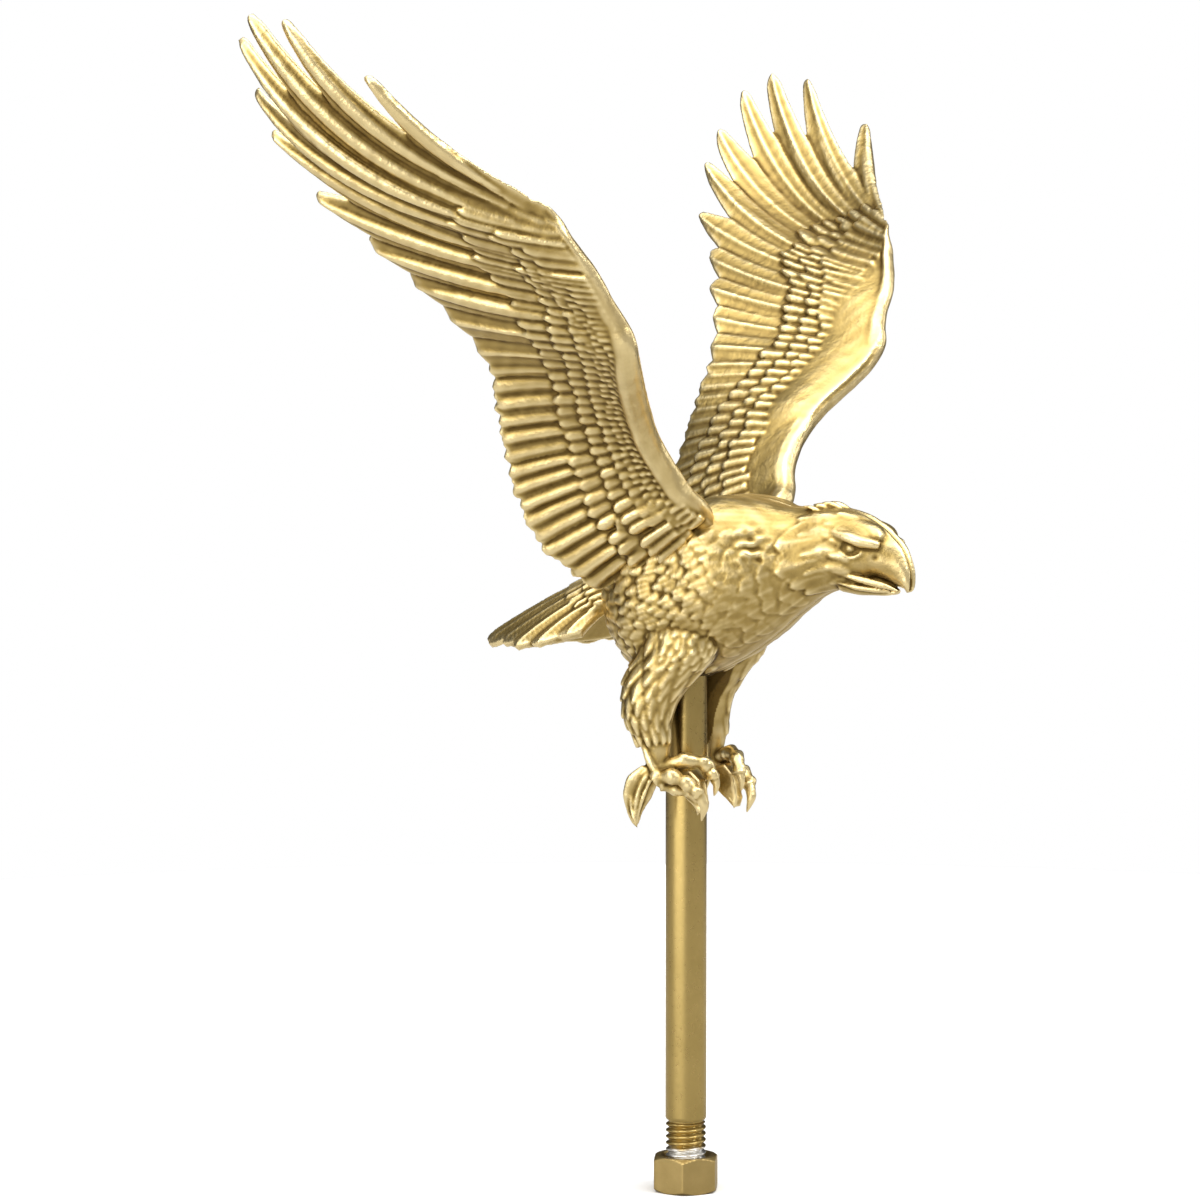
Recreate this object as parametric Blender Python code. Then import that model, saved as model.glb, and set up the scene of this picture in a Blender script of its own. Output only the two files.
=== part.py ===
"""Flying eagle pole-top ornament: a hollow cast eagle on a half-inch spindle with a hex nut.

The eagle faces -Y, its left side is +X, and the spindle stands on the Z axis with its lower
end face at the origin. All sizes below are in millimetres.
"""

import math

import bmesh
import bpy
from mathutils import Vector

MM = 0.001
FIT_GAP = 0.3  # air between touching pieces
SEAM = FIT_GAP / 2  # each half casting stops this far from the middle plane

# Spindle and nut: 1/2 in rod, 1/2-13 thread, 3/4 in across flats.
ROD_RADIUS = 6.35
THREAD_TOP = 21.5
THREAD_PITCH = 25.4 / 13
THREAD_CREST_RADIUS = 6.2
THREAD_ROOT_RADIUS = 5.3
THREAD_START_RADIUS = 5.1
THREAD_ROWS_PER_TURN = 4
SHOULDER_HEIGHT = 0.8  # short cone from the thread's end up to the full rod
END_CHAMFER = 1.2
SPINDLE_TOP = 176.0
NUT_ACROSS_FLATS = 19.05
NUT_HEIGHT = 11.1
NUT_BOTTOM = -0.5
NUT_BORE_RADIUS = 6.5
NUT_CHAMFER = 0.9
NUT_FACE_RADIUS = 9.2
NUT_COUNTERSINK = 1.4
NUT_TURN_DEG = 25.8  # angle of one nut corner from +X

# Body: one line per station from rump to beak:
# top point (y, z), bottom point (y, z), half width, squareness of the upper side.
BODY_STATIONS = (
    ((30.0, 191.0), (26.0, 174.0), 8.0, 2.0),
    ((22.0, 199.0), (17.0, 164.0), 16.5, 2.6),
    ((9.0, 208.0), (8.0, 158.0), 23.5, 3.6),
    ((-6.0, 213.5), (-6.0, 159.5), 25.0, 3.6),
    ((-18.0, 216.0), (-20.0, 165.5), 25.5, 3.4),
    ((-29.0, 215.0), (-31.0, 172.5), 21.0, 3.0),
    ((-37.0, 213.0), (-41.0, 181.0), 16.0, 2.4),
    ((-44.0, 213.0), (-49.0, 186.0), 13.0, 2.2),
    ((-51.0, 213.5), (-56.5, 188.0), 12.0, 2.2),
    ((-59.0, 212.0), (-63.0, 186.5), 10.5, 2.2),
    ((-66.0, 209.5), (-67.0, 186.0), 8.5, 2.0),
    ((-72.5, 205.5), (-70.5, 187.5), 6.0, 2.0),
    ((-76.5, 199.0), (-74.0, 188.5), 4.0, 2.0),
    ((-77.5, 191.5), (-76.0, 187.0), 1.6, 2.0),
)
BODY_ARC_STEPS = 8

# Hollow inside the trunk: same layout, wall kept by the smaller sizes.
CAVITY_STATIONS = (
    ((5.0, 201.0), (5.0, 168.0), 16.0, 3.0),
    ((-6.0, 208.0), (-6.0, 167.0), 17.5, 3.2),
    ((-17.0, 211.0), (-18.0, 171.0), 17.5, 3.2),
    ((-27.0, 209.0), (-28.0, 178.0), 14.0, 2.6),
)

# Thigh, leg: (z, centre y, half length along y, centre x, half width).
THIGH_STATIONS = (
    (176.0, -7.5, 12.0, 14.5, 8.5),
    (167.0, -5.5, 12.0, 14.5, 9.0),
    (160.0, -0.5, 11.0, 15.5, 8.5),
    (153.5, 2.0, 8.5, 17.0, 7.0),
    (147.0, 2.5, 6.5, 17.0, 6.0),
    (141.0, 1.0, 5.0, 17.0, 4.2),
    (135.0, 0.2, 3.5, 17.0, 3.6),
    (129.0, -1.0, 3.8, 16.0, 4.0),
)
THIGH_HOLLOW = (
    (172.0, -6.0, 8.0, 9.0, 8.5),
    (161.0, -1.5, 7.5, 9.5, 8.5),
    (153.0, 1.5, 5.5, 10.5, 8.0),
    (146.0, 2.0, 3.8, 12.0, 5.5),
    (141.5, 1.0, 2.0, 13.0, 3.0),
)
# Toes: centre points (x, y, z) with half width and half height.
FRONT_TOE = (
    ((15.0, 1.0, 131.5), 3.6, 3.4),
    ((13.0, -6.0, 132.0), 3.4, 3.0),
    ((11.5, -12.5, 131.0), 3.0, 3.0),
    ((11.0, -16.5, 127.0), 2.2, 2.4),
    ((11.0, -16.5, 120.5), 0.8, 0.8),
)
OUTER_TOE = (
    ((17.0, 0.0, 131.0), 3.4, 3.2),
    ((17.5, -7.0, 129.5), 3.2, 3.0),
    ((17.0, -13.0, 125.0), 3.0, 2.8),
    ((16.5, -16.0, 120.5), 2.4, 2.2),
    ((16.0, -15.0, 115.0), 0.8, 0.8),
)
REAR_TOE = (
    ((17.0, 0.5, 133.0), 3.2, 3.2),
    ((17.0, 4.5, 127.0), 4.4, 2.6),
    ((17.0, 7.5, 120.0), 4.0, 2.2),
    ((16.5, 9.5, 112.5), 0.8, 0.8),
)
SOLE_LOW = (8.0, -12.5, 117.5)
SOLE_HIGH = (15.5, -3.5, 131.0)

# Wing, left side. Each rib: leading edge point, trailing end point, how far its middle bows away
# from the straight line, half thickness factor, and how much of it the web covers before the
# feathers separate.
STRAIGHT = (0.0, 0.0, 0.0)
WING_RIBS = (
    ((20.0, -22.0, 210.0), (14.0, 17.0, 182.0), STRAIGHT, 1.5, 1.0),
    ((27.0, -21.5, 214.5), (23.0, 20.5, 187.5), STRAIGHT, 1.5, 1.0),
    ((31.5, -20.0, 217.5), (32.0, 26.0, 194.5), STRAIGHT, 1.2, 1.0),
    ((35.0, -18.0, 223.0), (39.0, 30.5, 202.0), STRAIGHT, 1.05, 1.0),
    ((40.0, -17.0, 228.5), (46.0, 33.0, 214.5), STRAIGHT, 1.0, 1.0),
    ((45.5, -17.0, 233.5), (52.5, 32.5, 228.0), STRAIGHT, 1.0, 1.0),
    ((54.0, -19.0, 241.0), (58.0, 32.0, 239.5), (0.5, 0.5, -0.5), 1.0, 1.0),
    ((66.0, -23.5, 249.5), (63.0, 30.5, 251.0), (1.0, 1.0, -0.5), 1.0, 1.0),
    ((72.5, -26.5, 255.5), (69.0, 31.5, 260.0), (1.5, 1.5, -1.0), 0.95, 1.0),
    ((77.0, -28.0, 262.0), (77.5, 35.5, 269.5), (2.0, 2.5, -2.5), 0.9, 1.0),
    ((80.0, -26.5, 267.5), (87.0, 42.0, 279.5), (1.0, 1.5, -3.0), 0.85, 1.0),
    ((84.5, -25.0, 273.0), (98.0, 48.0, 290.0), (-2.0, 1.0, -3.5), 0.8, 0.88),
    ((89.0, -24.5, 278.5), (110.5, 59.5, 304.5), (-0.5, 4.5, -3.5), 0.75, 0.76),
    ((92.5, -23.0, 283.5), (124.5, 65.5, 322.0), (-1.0, 4.5, -7.0), 0.7, 0.7),
    ((95.5, -21.0, 288.0), (132.5, 65.5, 333.5), (6.0, 9.0, -7.0), 0.65, 0.66),
    ((98.0, -19.5, 291.5), (144.0, 62.5, 347.5), (6.0, 8.0, -10.5), 0.6, 0.62),
    ((100.0, -18.0, 295.0), (150.5, 54.5, 354.0), (3.5, 6.5, -10.5), 0.6, 0.6),
    ((102.5, -16.0, 297.5), (151.5, 40.5, 352.0), (5.0, 6.5, -5.5), 0.6, 0.54),
    ((104.5, -13.5, 299.5), (147.5, 15.5, 335.5), (1.0, 2.5, -2.5), 0.6, 0.4),
)
FIRST_FINGER_RIB = 11
# Along a rib: fraction of the chord, then half thickness.
RIB_THICKNESS = ((0.02, 2.2), (0.07, 3.6), (0.14, 3.4), (0.24, 2.0), (0.5, 1.3), (1.0, 0.9))
# Arch of the wing from front to back, at its root and at its tip.
ROOT_CAMBER = 3.5
TIP_CAMBER = 0.3
CAMBER_FALL_START = 7  # the arch grows flatter from this rib outwards
FINGER_START = 0.4
# Along a finger feather from its start: fraction, half width factor.
FINGER_WIDTHS = ((0.0, 0.7), (0.3, 1.0), (0.6, 0.9), (0.85, 0.55), (1.0, 0.12))
FINGER_HALF_WIDTH = 4.2
FINGER_HALF_THICKNESS = 1.2
FINGER_LEAST_THICKNESS = 0.5  # share of the half thickness left at a narrow tip
WING_SEAT_X = 22.0
WING_SEAT_LOW = (WING_SEAT_X, -40.0, 181.5)
WING_SEAT_HIGH = (60.0, 40.0, 240.0)
WING_SCREWS = {"front": (-12.0, 206.0), "rear": (2.0, 199.0)}
WING_SCREW_RADIUS = 2.0
WING_SCREW_HEAD_RADIUS = 3.5
WING_SCREW_HEAD_START = 15.5
WING_SCREW_HEAD_END = 18.0
WING_SCREW_TIP = 27.0
DRIVER_WAY_RADIUS = 4.3  # round way inside the body through which each wing screw is driven
# Root boss that takes the wing screws: x, centre (y, z), half length, half height.
ROOT_BOSS = (
    (18.0, (-4.0, 201.0), 19.0, 8.0),
    (23.0, (-4.0, 202.5), 19.0, 8.0),
    (30.0, (-4.0, 205.5), 18.0, 7.0),
    (36.0, (-3.0, 212.0), 15.0, 3.5),
)
ROOT_BOSS_SLOPE = -0.5  # rise in z for each millimetre of y

# Tail, an arched fan: each rib as on the wing, root point then tip point.
TAIL_RIBS = (
    ((12.0, 21.5, 180.0), (20.5, 24.0, 172.5)),
    ((10.0, 21.5, 184.0), (21.5, 37.0, 169.0)),
    ((7.5, 21.5, 188.0), (19.5, 48.0, 167.0)),
    ((4.0, 21.5, 191.0), (9.0, 64.0, 167.0)),
    ((0.0, 21.5, 192.5), (0.0, 71.0, 168.0)),
)
RUMP_END_Y = 19.5
TAIL_HALF_THICKNESS = 1.5
TONGUE_LOW = (-7.0, 9.0, 178.0)
TONGUE_HIGH = (7.0, 26.0, 185.0)
TAIL_PIN_PLACE = (14.0, 181.5)
TAIL_PIN_RADIUS = 1.5
TAIL_PIN_HALF_LENGTH = 11.0

# Joining of the two halves.
BOSS_RADIUS = 13.0
BOSS_BOTTOM = 163.0
BOSS_TOP = 183.0
CROSS_PIN_Z = 170.0
CROSS_PIN_RADIUS = 1.4
CROSS_PIN_HALF_LENGTH = 10.5
DOWELS = {"front": (-47.0, 199.0), "rear": (13.0, 194.0)}
DOWEL_RADIUS = 1.5
DOWEL_HALF_LENGTH = 5.0
HALF_SCREWS = {"front": (-36.0, 186.0), "rear": (12.0, 168.5)}
HALF_SCREW_RADIUS = 1.75
HALF_SCREW_HEAD_RADIUS = 3.2
HALF_SCREW_HEAD_START = 8.0
HALF_SCREW_HEAD_END = 10.5
HALF_SCREW_TIP = -9.0
# Every screw: a rounded head face and a short point.
HEAD_FACE_SHARE = 0.8
HEAD_ROUNDING = 0.7
SCREW_POINT_LENGTH = 1.0
SCREW_POINT_SHARE = 0.6

ROUND_SIDES = 16
OVAL_SIDES = 12
TOE_SIDES = 8
BORE_SIDES = 24
NUT_SIDES = 36
CLEAR = 60.0  # cutting shapes run this far, well past the surface they open
MID_SIDE = 1.0  # how far holes and hollows cross the middle plane
GOLD = (0.62, 0.43, 0.14, 1.0)
STEEL = (0.62, 0.62, 0.6, 1.0)


# ---- general helpers ----


def make_material(name, colour, roughness):
    material = bpy.data.materials.new(name)
    material.use_nodes = True
    shader = material.node_tree.nodes["Principled BSDF"]
    shader.inputs["Base Color"].default_value = colour
    shader.inputs["Roughness"].default_value = roughness
    shader.inputs["Metallic"].default_value = 1.0
    material.diffuse_color = colour
    return material


def make_object(name, points, faces):
    """A closed mesh from points in millimetres, triangulated, with its faces pointing out."""
    mesh = bpy.data.meshes.new(name)
    work = bmesh.new()
    corners = [work.verts.new(Vector(point) * MM) for point in points]
    for face in faces:
        work.faces.new([corners[index] for index in face])
    bmesh.ops.recalc_face_normals(work, faces=work.faces)
    bmesh.ops.triangulate(work, faces=work.faces)
    work.to_mesh(mesh)
    work.free()
    obj = bpy.data.objects.new(name, mesh)
    bpy.context.scene.collection.objects.link(obj)
    return obj


def loft(name, rings):
    """Joins rings of equally many points and closes both ends."""
    count = len(rings[0])
    points = [point for ring in rings for point in ring]
    faces = []
    for row in range(len(rings) - 1):
        for column in range(count):
            after = (column + 1) % count
            low = row * count
            high = low + count
            faces.append((low + column, low + after, high + after, high + column))
    faces.append(tuple(range(count)))
    last = (len(rings) - 1) * count
    faces.append(tuple(range(last, last + count)))
    return make_object(name, points, faces)


def box(name, low, high):
    bottom = [(low[0], low[1]), (high[0], low[1]), (high[0], high[1]), (low[0], high[1])]
    return loft(name, [[(x, y, z) for x, y in bottom] for z in (low[2], high[2])])


def round_bar(name, start, end, radii, sides=ROUND_SIDES):
    """A turned bar from start to end. radii lists (distance from start, radius) pairs."""
    start = Vector(start)
    direction = (Vector(end) - start).normalized()
    side = direction.orthogonal().normalized()
    other = direction.cross(side)
    rings = []
    for distance, radius in radii:
        ring = []
        for step in range(sides):
            angle = math.tau * (step + 0.5) / sides
            around = side * math.cos(angle) + other * math.sin(angle)
            ring.append(start + direction * distance + around * radius)
        rings.append(ring)
    return loft(name, rings)


def bar_along_x(name, place, low_x, high_x, radius):
    y, z = place
    length = high_x - low_x
    return round_bar(name, (low_x, y, z), (high_x, y, z), ((0.0, radius), (length, radius)))


def screw_along_x(name, place, tip_x, head_start, head_end, radius, head_radius):
    """A pan head screw parallel to X. head_end is the outer end of its head."""
    y, z = place
    way = 1 if tip_x > head_start else -1
    head_length = abs(head_end - head_start)
    length = abs(tip_x - head_start)
    radii = (
        (0.0, head_radius * HEAD_FACE_SHARE),
        (HEAD_ROUNDING, head_radius),
        (head_length, head_radius),
        (head_length, radius),
        (length - SCREW_POINT_LENGTH, radius),
        (length, radius * SCREW_POINT_SHARE),
    )
    return round_bar(name, (head_start, y, z), (head_start + way, y, z), radii)


def combine(target, tool, operation):
    """Applies one Boolean with tool, then removes tool."""
    modifier = target.modifiers.new(operation, "BOOLEAN")
    modifier.operation = operation
    modifier.solver = "EXACT"
    modifier.object = tool
    graph = bpy.context.evaluated_depsgraph_get()
    mesh = bpy.data.meshes.new_from_object(target.evaluated_get(graph))
    target.modifiers.remove(modifier)
    target.data = mesh
    bpy.data.objects.remove(tool)
    return target


def unite(target, tool):
    return combine(target, tool, "UNION")


def cut(target, tool):
    return combine(target, tool, "DIFFERENCE")


def mirrored(source, name):
    """A copy of source on the other side of the middle plane."""
    work = bmesh.new()
    work.from_mesh(source.data)
    for corner in work.verts:
        corner.co.x = -corner.co.x
    bmesh.ops.reverse_faces(work, faces=work.faces)
    mesh = bpy.data.meshes.new(name)
    work.to_mesh(mesh)
    work.free()
    obj = bpy.data.objects.new(name, mesh)
    bpy.context.scene.collection.objects.link(obj)
    return obj


def finish(obj, name, material, angle_deg=35.0):
    obj.name = name
    obj.data.name = name
    obj.data.materials.clear()
    obj.data.materials.append(material)
    obj.data.shade_smooth()
    obj.data.set_sharp_from_angle(angle=math.radians(angle_deg))
    return obj


# ---- the two half castings ----


def trunk(name, stations, inner_x):
    """Left half of the head, neck and trunk, flat at x = inner_x."""
    rings = []
    for (top_y, top_z), (low_y, low_z), half_width, squareness in stations:
        top = Vector((0.0, top_y, top_z))
        low = Vector((0.0, low_y, low_z))
        middle = (top + low) / 2
        ring = []
        for step in range(BODY_ARC_STEPS + 1):
            angle = math.pi * (0.5 - step / BODY_ARC_STEPS)
            reach = math.sin(angle)
            power = squareness if reach > 0 else 2.0
            width = half_width * max(0.0, 1 - abs(reach) ** power) ** (1 / power)
            centre = middle + (top - middle) * reach
            ring.append((max(width, 0.0) + inner_x, centre.y, centre.z))
        rings.append(ring)
    return loft(name, rings)


def oval_column(name, stations):
    rings = []
    for z, centre_y, half_y, centre_x, half_x in stations:
        ring = []
        for step in range(OVAL_SIDES):
            angle = math.tau * step / OVAL_SIDES
            ring.append((centre_x + half_x * math.cos(angle), centre_y + half_y * math.sin(angle), z))
        rings.append(ring)
    return loft(name, rings)


def toe(name, stations):
    """A tapering toe through its centre points, oval across."""
    centres = [Vector(centre) for centre, _, _ in stations]
    rings = []
    for index, (_, half_width, half_height) in enumerate(stations):
        before = centres[max(index - 1, 0)]
        after = centres[min(index + 1, len(centres) - 1)]
        along = (after - before).normalized()
        across = Vector((1.0, 0.0, 0.0))
        across = (across - along * across.dot(along)).normalized()
        up = across.cross(along)
        ring = []
        for step in range(TOE_SIDES):
            angle = math.tau * (step + 0.5) / TOE_SIDES
            offset = across * half_width * math.cos(angle) + up * half_height * math.sin(angle)
            ring.append(centres[index] + offset)
        rings.append(ring)
    return loft(name, rings)


def left_half_casting():
    """Hollow half of the eagle: head, neck, trunk, thigh and foot."""
    half = trunk("half", BODY_STATIONS, SEAM)
    unite(half, oval_column("thigh", THIGH_STATIONS))
    unite(half, box("sole", SOLE_LOW, SOLE_HIGH))
    for stations in (FRONT_TOE, OUTER_TOE, REAR_TOE):
        unite(half, toe("toe", stations))
    cavity = trunk("cavity", CAVITY_STATIONS, SEAM - MID_SIDE)
    cut(half, cavity)
    cut(half, oval_column("thigh_hollow", THIGH_HOLLOW))
    boss = round_bar(
        "boss",
        (0.0, 0.0, BOSS_BOTTOM),
        (0.0, 0.0, BOSS_TOP),
        ((0.0, BOSS_RADIUS), (BOSS_TOP - BOSS_BOTTOM, BOSS_RADIUS)),
    )
    cut(boss, box("other_side", (-CLEAR, -CLEAR, 0.0), (SEAM, CLEAR, 2 * SPINDLE_TOP)))
    unite(half, boss)
    bore_radius = ROD_RADIUS + FIT_GAP
    bore = round_bar(
        "bore",
        (0.0, 0.0, 0.0),
        (0.0, 0.0, SPINDLE_TOP),
        ((0.0, bore_radius), (SPINDLE_TOP + FIT_GAP, bore_radius)),
        sides=BORE_SIDES,
    )
    cut(half, bore)
    cut(half, box("wing_seat", WING_SEAT_LOW, WING_SEAT_HIGH))
    tail_seat_low = (-CLEAR, RUMP_END_Y, 0.0)
    tail_seat_high = (CLEAR, RUMP_END_Y + CLEAR, 2 * SPINDLE_TOP)
    cut(half, box("tail_seat", tail_seat_low, tail_seat_high))
    return half


def drill_common_holes(half):
    """Holes that both halves share: pins, dowels, tail slot and wing screws."""
    slot_low = [value - FIT_GAP for value in TONGUE_LOW]
    slot_high = [value + FIT_GAP for value in TONGUE_HIGH]
    slot_high[1] = CLEAR
    cut(half, box("slot", slot_low, slot_high))
    pin_holes = [((0.0, CROSS_PIN_Z), CROSS_PIN_RADIUS, CROSS_PIN_HALF_LENGTH)]
    pin_holes.append((TAIL_PIN_PLACE, TAIL_PIN_RADIUS, TAIL_PIN_HALF_LENGTH))
    pin_holes += [(place, DOWEL_RADIUS, DOWEL_HALF_LENGTH) for place in DOWELS.values()]
    for place, radius, half_length in pin_holes:
        hole = bar_along_x("hole", place, -MID_SIDE, half_length + FIT_GAP, radius + FIT_GAP)
        cut(half, hole)
    for place in WING_SCREWS.values():
        way_end = WING_SCREW_HEAD_END + FIT_GAP
        cut(half, bar_along_x("driver_way", place, -MID_SIDE, way_end, DRIVER_WAY_RADIUS))
        cut(half, bar_along_x("hole", place, way_end - MID_SIDE, CLEAR, WING_SCREW_RADIUS + FIT_GAP))


def drill_half_screws(left_half, right_half):
    """The halves' screws go in from the left, so only that side has the head recesses."""
    for place in HALF_SCREWS.values():
        shaft = HALF_SCREW_RADIUS + FIT_GAP
        head = HALF_SCREW_HEAD_RADIUS + FIT_GAP
        cut(left_half, bar_along_x("hole", place, -MID_SIDE, CLEAR, shaft))
        cut(left_half, bar_along_x("recess", place, HALF_SCREW_HEAD_START - FIT_GAP, CLEAR, head))
        cut(right_half, bar_along_x("hole", place, HALF_SCREW_TIP - FIT_GAP, MID_SIDE, shaft))


# ---- wings ----


def rib_frame(index):
    """Chord and outward (upper side) directions of one rib."""
    start = Vector(WING_RIBS[index][0])
    end = Vector(WING_RIBS[index][1])
    before = WING_RIBS[max(index - 1, 0)]
    after = WING_RIBS[min(index + 1, len(WING_RIBS) - 1)]
    span = Vector(after[0]) + Vector(after[1]) - Vector(before[0]) - Vector(before[1])
    chord = end - start
    upper = span.cross(chord).normalized()
    return start, chord, upper


def rib_point(index, fraction):
    """A point on the wing's middle surface: each rib is arched and bows as a feather does."""
    start, chord, upper = rib_frame(index)
    arch = 4 * fraction * (1 - fraction)
    past = max(index - CAMBER_FALL_START, 0) / (len(WING_RIBS) - 1 - CAMBER_FALL_START)
    camber = ROOT_CAMBER + (TIP_CAMBER - ROOT_CAMBER) * past
    bow = Vector(WING_RIBS[index][2])
    return start + chord * fraction + (upper * camber + bow) * arch


def wing_web():
    """The closed wing surface up to where the finger feathers part."""
    rings = []
    for index, (_, _, _, thickness, covered) in enumerate(WING_RIBS):
        start, _, upper = rib_frame(index)
        top = []
        bottom = []
        for fraction, half in RIB_THICKNESS:
            place = rib_point(index, fraction * covered)
            top.append(place + upper * half * thickness)
            bottom.append(place - upper * half * thickness)
        rings.append([start] + top + bottom[::-1])
    return loft("wing", rings)


def finger_feather(index):
    """One long pointed feather on the outer wing."""
    _, chord, upper = rib_frame(index)
    across = upper.cross(chord).normalized()
    rings = []
    for along, widening in FINGER_WIDTHS:
        fraction = FINGER_START + (1 - FINGER_START) * along
        centre = rib_point(index, fraction)
        width = FINGER_HALF_WIDTH * widening
        half = FINGER_HALF_THICKNESS * max(widening, FINGER_LEAST_THICKNESS)
        ring = [
            centre - across * width,
            centre + upper * half - across * width * 0.5,
            centre + upper * half + across * width * 0.5,
            centre + across * width,
            centre - upper * half + across * width * 0.5,
            centre - upper * half - across * width * 0.5,
        ]
        rings.append(ring)
    return loft("finger", rings)


def wing_root_boss():
    """Thick oval root that meets the body and takes the screws."""
    along = Vector((0.0, 1.0, ROOT_BOSS_SLOPE)).normalized()
    up = Vector((0.0, -ROOT_BOSS_SLOPE, 1.0)).normalized()
    rings = []
    for x, (centre_y, centre_z), half_length, half_height in ROOT_BOSS:
        centre = Vector((x, centre_y, centre_z))
        ring = []
        for step in range(OVAL_SIDES):
            angle = math.tau * step / OVAL_SIDES
            ring.append(
                centre
                + along * half_length * math.cos(angle)
                + up * half_height * math.sin(angle)
            )
        rings.append(ring)
    return loft("root_boss", rings)


def left_wing_casting():
    wing = wing_web()
    unite(wing, wing_root_boss())
    for index in range(FIRST_FINGER_RIB, len(WING_RIBS)):
        unite(wing, finger_feather(index))
    inside_high = (WING_SEAT_X + FIT_GAP, CLEAR, 2 * SPINDLE_TOP)
    cut(wing, box("inside", (-CLEAR, -CLEAR, 0.0), inside_high))
    for place in WING_SCREWS.values():
        hole = WING_SCREW_RADIUS + FIT_GAP
        cut(wing, bar_along_x("hole", place, 0.0, WING_SCREW_TIP + FIT_GAP, hole))
    return wing


# ---- tail ----


def tail_casting():
    """An arched fan with a tongue that reaches into the body."""
    left = [(Vector(root), Vector(tip)) for root, tip in TAIL_RIBS]
    flip = Vector((-1.0, 1.0, 1.0))
    ribs = left + [(root * flip, tip * flip) for root, tip in left[-2::-1]]
    rings = []
    for index, (root, tip) in enumerate(ribs):
        before = ribs[max(index - 1, 0)]
        after = ribs[min(index + 1, len(ribs) - 1)]
        span = (after[0] + after[1]) - (before[0] + before[1])
        upper = (tip - root).cross(span).normalized()
        if upper.z < 0:
            upper.negate()
        lift = upper * TAIL_HALF_THICKNESS
        middle = (root + tip) / 2
        rings.append([root + lift, middle + lift, tip + lift, tip - lift, middle - lift, root - lift])
    tail = loft("tail", rings)
    unite(tail, box("tongue", TONGUE_LOW, TONGUE_HIGH))
    hole = bar_along_x("hole", TAIL_PIN_PLACE, -CLEAR, CLEAR, TAIL_PIN_RADIUS + FIT_GAP)
    return cut(tail, hole)


# ---- spindle, nut and small parts ----


def spindle_rod():
    """Rod with a helical thread at its lower end, cross drilled at its upper end."""
    rows = int((THREAD_TOP - 2 * END_CHAMFER) / THREAD_PITCH * THREAD_ROWS_PER_TURN)
    row_height = THREAD_PITCH / THREAD_ROWS_PER_TURN
    heights = [0.0, END_CHAMFER]
    heights += [END_CHAMFER + (row + 0.5) * row_height for row in range(rows)]
    rings = []
    for height in heights:
        ring = []
        for step in range(ROUND_SIDES):
            turn = step / ROUND_SIDES
            phase = (height / THREAD_PITCH - turn) % 1.0
            wave = abs(2 * phase - 1)
            radius = THREAD_ROOT_RADIUS + (THREAD_CREST_RADIUS - THREAD_ROOT_RADIUS) * wave
            if height <= END_CHAMFER:
                radius = THREAD_START_RADIUS
            angle = math.tau * turn
            ring.append((radius * math.cos(angle), radius * math.sin(angle), height))
        rings.append(ring)
    plain = (
        (THREAD_TOP - END_CHAMFER, THREAD_ROOT_RADIUS),
        (THREAD_TOP, THREAD_CREST_RADIUS),
        (THREAD_TOP + SHOULDER_HEIGHT, ROD_RADIUS),
        (SPINDLE_TOP - END_CHAMFER, ROD_RADIUS),
        (SPINDLE_TOP, ROD_RADIUS - END_CHAMFER),
    )
    for height, radius in plain:
        ring = []
        for step in range(ROUND_SIDES):
            angle = math.tau * step / ROUND_SIDES
            ring.append((radius * math.cos(angle), radius * math.sin(angle), height))
        rings.append(ring)
    rod = loft("spindle", rings)
    hole = bar_along_x("hole", (0.0, CROSS_PIN_Z), -CLEAR, CLEAR, CROSS_PIN_RADIUS + FIT_GAP)
    return cut(rod, hole)


def nut_body():
    """Hex nut with both faces chamfered and a countersunk bore."""
    corner_radius = NUT_ACROSS_FLATS / math.sqrt(3)
    rings = []
    for height in (NUT_BOTTOM, NUT_BOTTOM + NUT_HEIGHT):
        ring = []
        for step in range(6):
            angle = math.radians(NUT_TURN_DEG + 60.0 * step)
            ring.append((corner_radius * math.cos(angle), corner_radius * math.sin(angle), height))
        rings.append(ring)
    nut = loft("nut", rings)
    cone_reach = NUT_FACE_RADIUS + NUT_CHAMFER * math.sqrt(3)
    mask = round_bar(
        "mask",
        (0.0, 0.0, NUT_BOTTOM),
        (0.0, 0.0, NUT_BOTTOM + 1.0),
        (
            (0.0, NUT_FACE_RADIUS),
            (NUT_CHAMFER, cone_reach),
            (NUT_HEIGHT - NUT_CHAMFER, cone_reach),
            (NUT_HEIGHT, NUT_FACE_RADIUS),
        ),
        sides=NUT_SIDES,
    )
    combine(nut, mask, "INTERSECT")
    wide = NUT_BORE_RADIUS + NUT_COUNTERSINK
    bore = round_bar(
        "bore",
        (0.0, 0.0, NUT_BOTTOM - MID_SIDE),
        (0.0, 0.0, NUT_BOTTOM),
        (
            (0.0, wide),
            (NUT_COUNTERSINK, NUT_BORE_RADIUS),
            (NUT_HEIGHT + 2 * MID_SIDE - NUT_COUNTERSINK, NUT_BORE_RADIUS),
            (NUT_HEIGHT + 2 * MID_SIDE, wide),
        ),
        sides=BORE_SIDES,
    )
    return cut(nut, bore)


def make_pins(steel):
    pins = {
        "cross_pin": ((0.0, CROSS_PIN_Z), CROSS_PIN_RADIUS, CROSS_PIN_HALF_LENGTH),
        "tail_pin": (TAIL_PIN_PLACE, TAIL_PIN_RADIUS, TAIL_PIN_HALF_LENGTH),
        "dowel_front": (DOWELS["front"], DOWEL_RADIUS, DOWEL_HALF_LENGTH),
        "dowel_rear": (DOWELS["rear"], DOWEL_RADIUS, DOWEL_HALF_LENGTH),
    }
    for name, (place, radius, half_length) in pins.items():
        finish(bar_along_x(name, place, -half_length, half_length, radius), name, steel)


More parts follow.
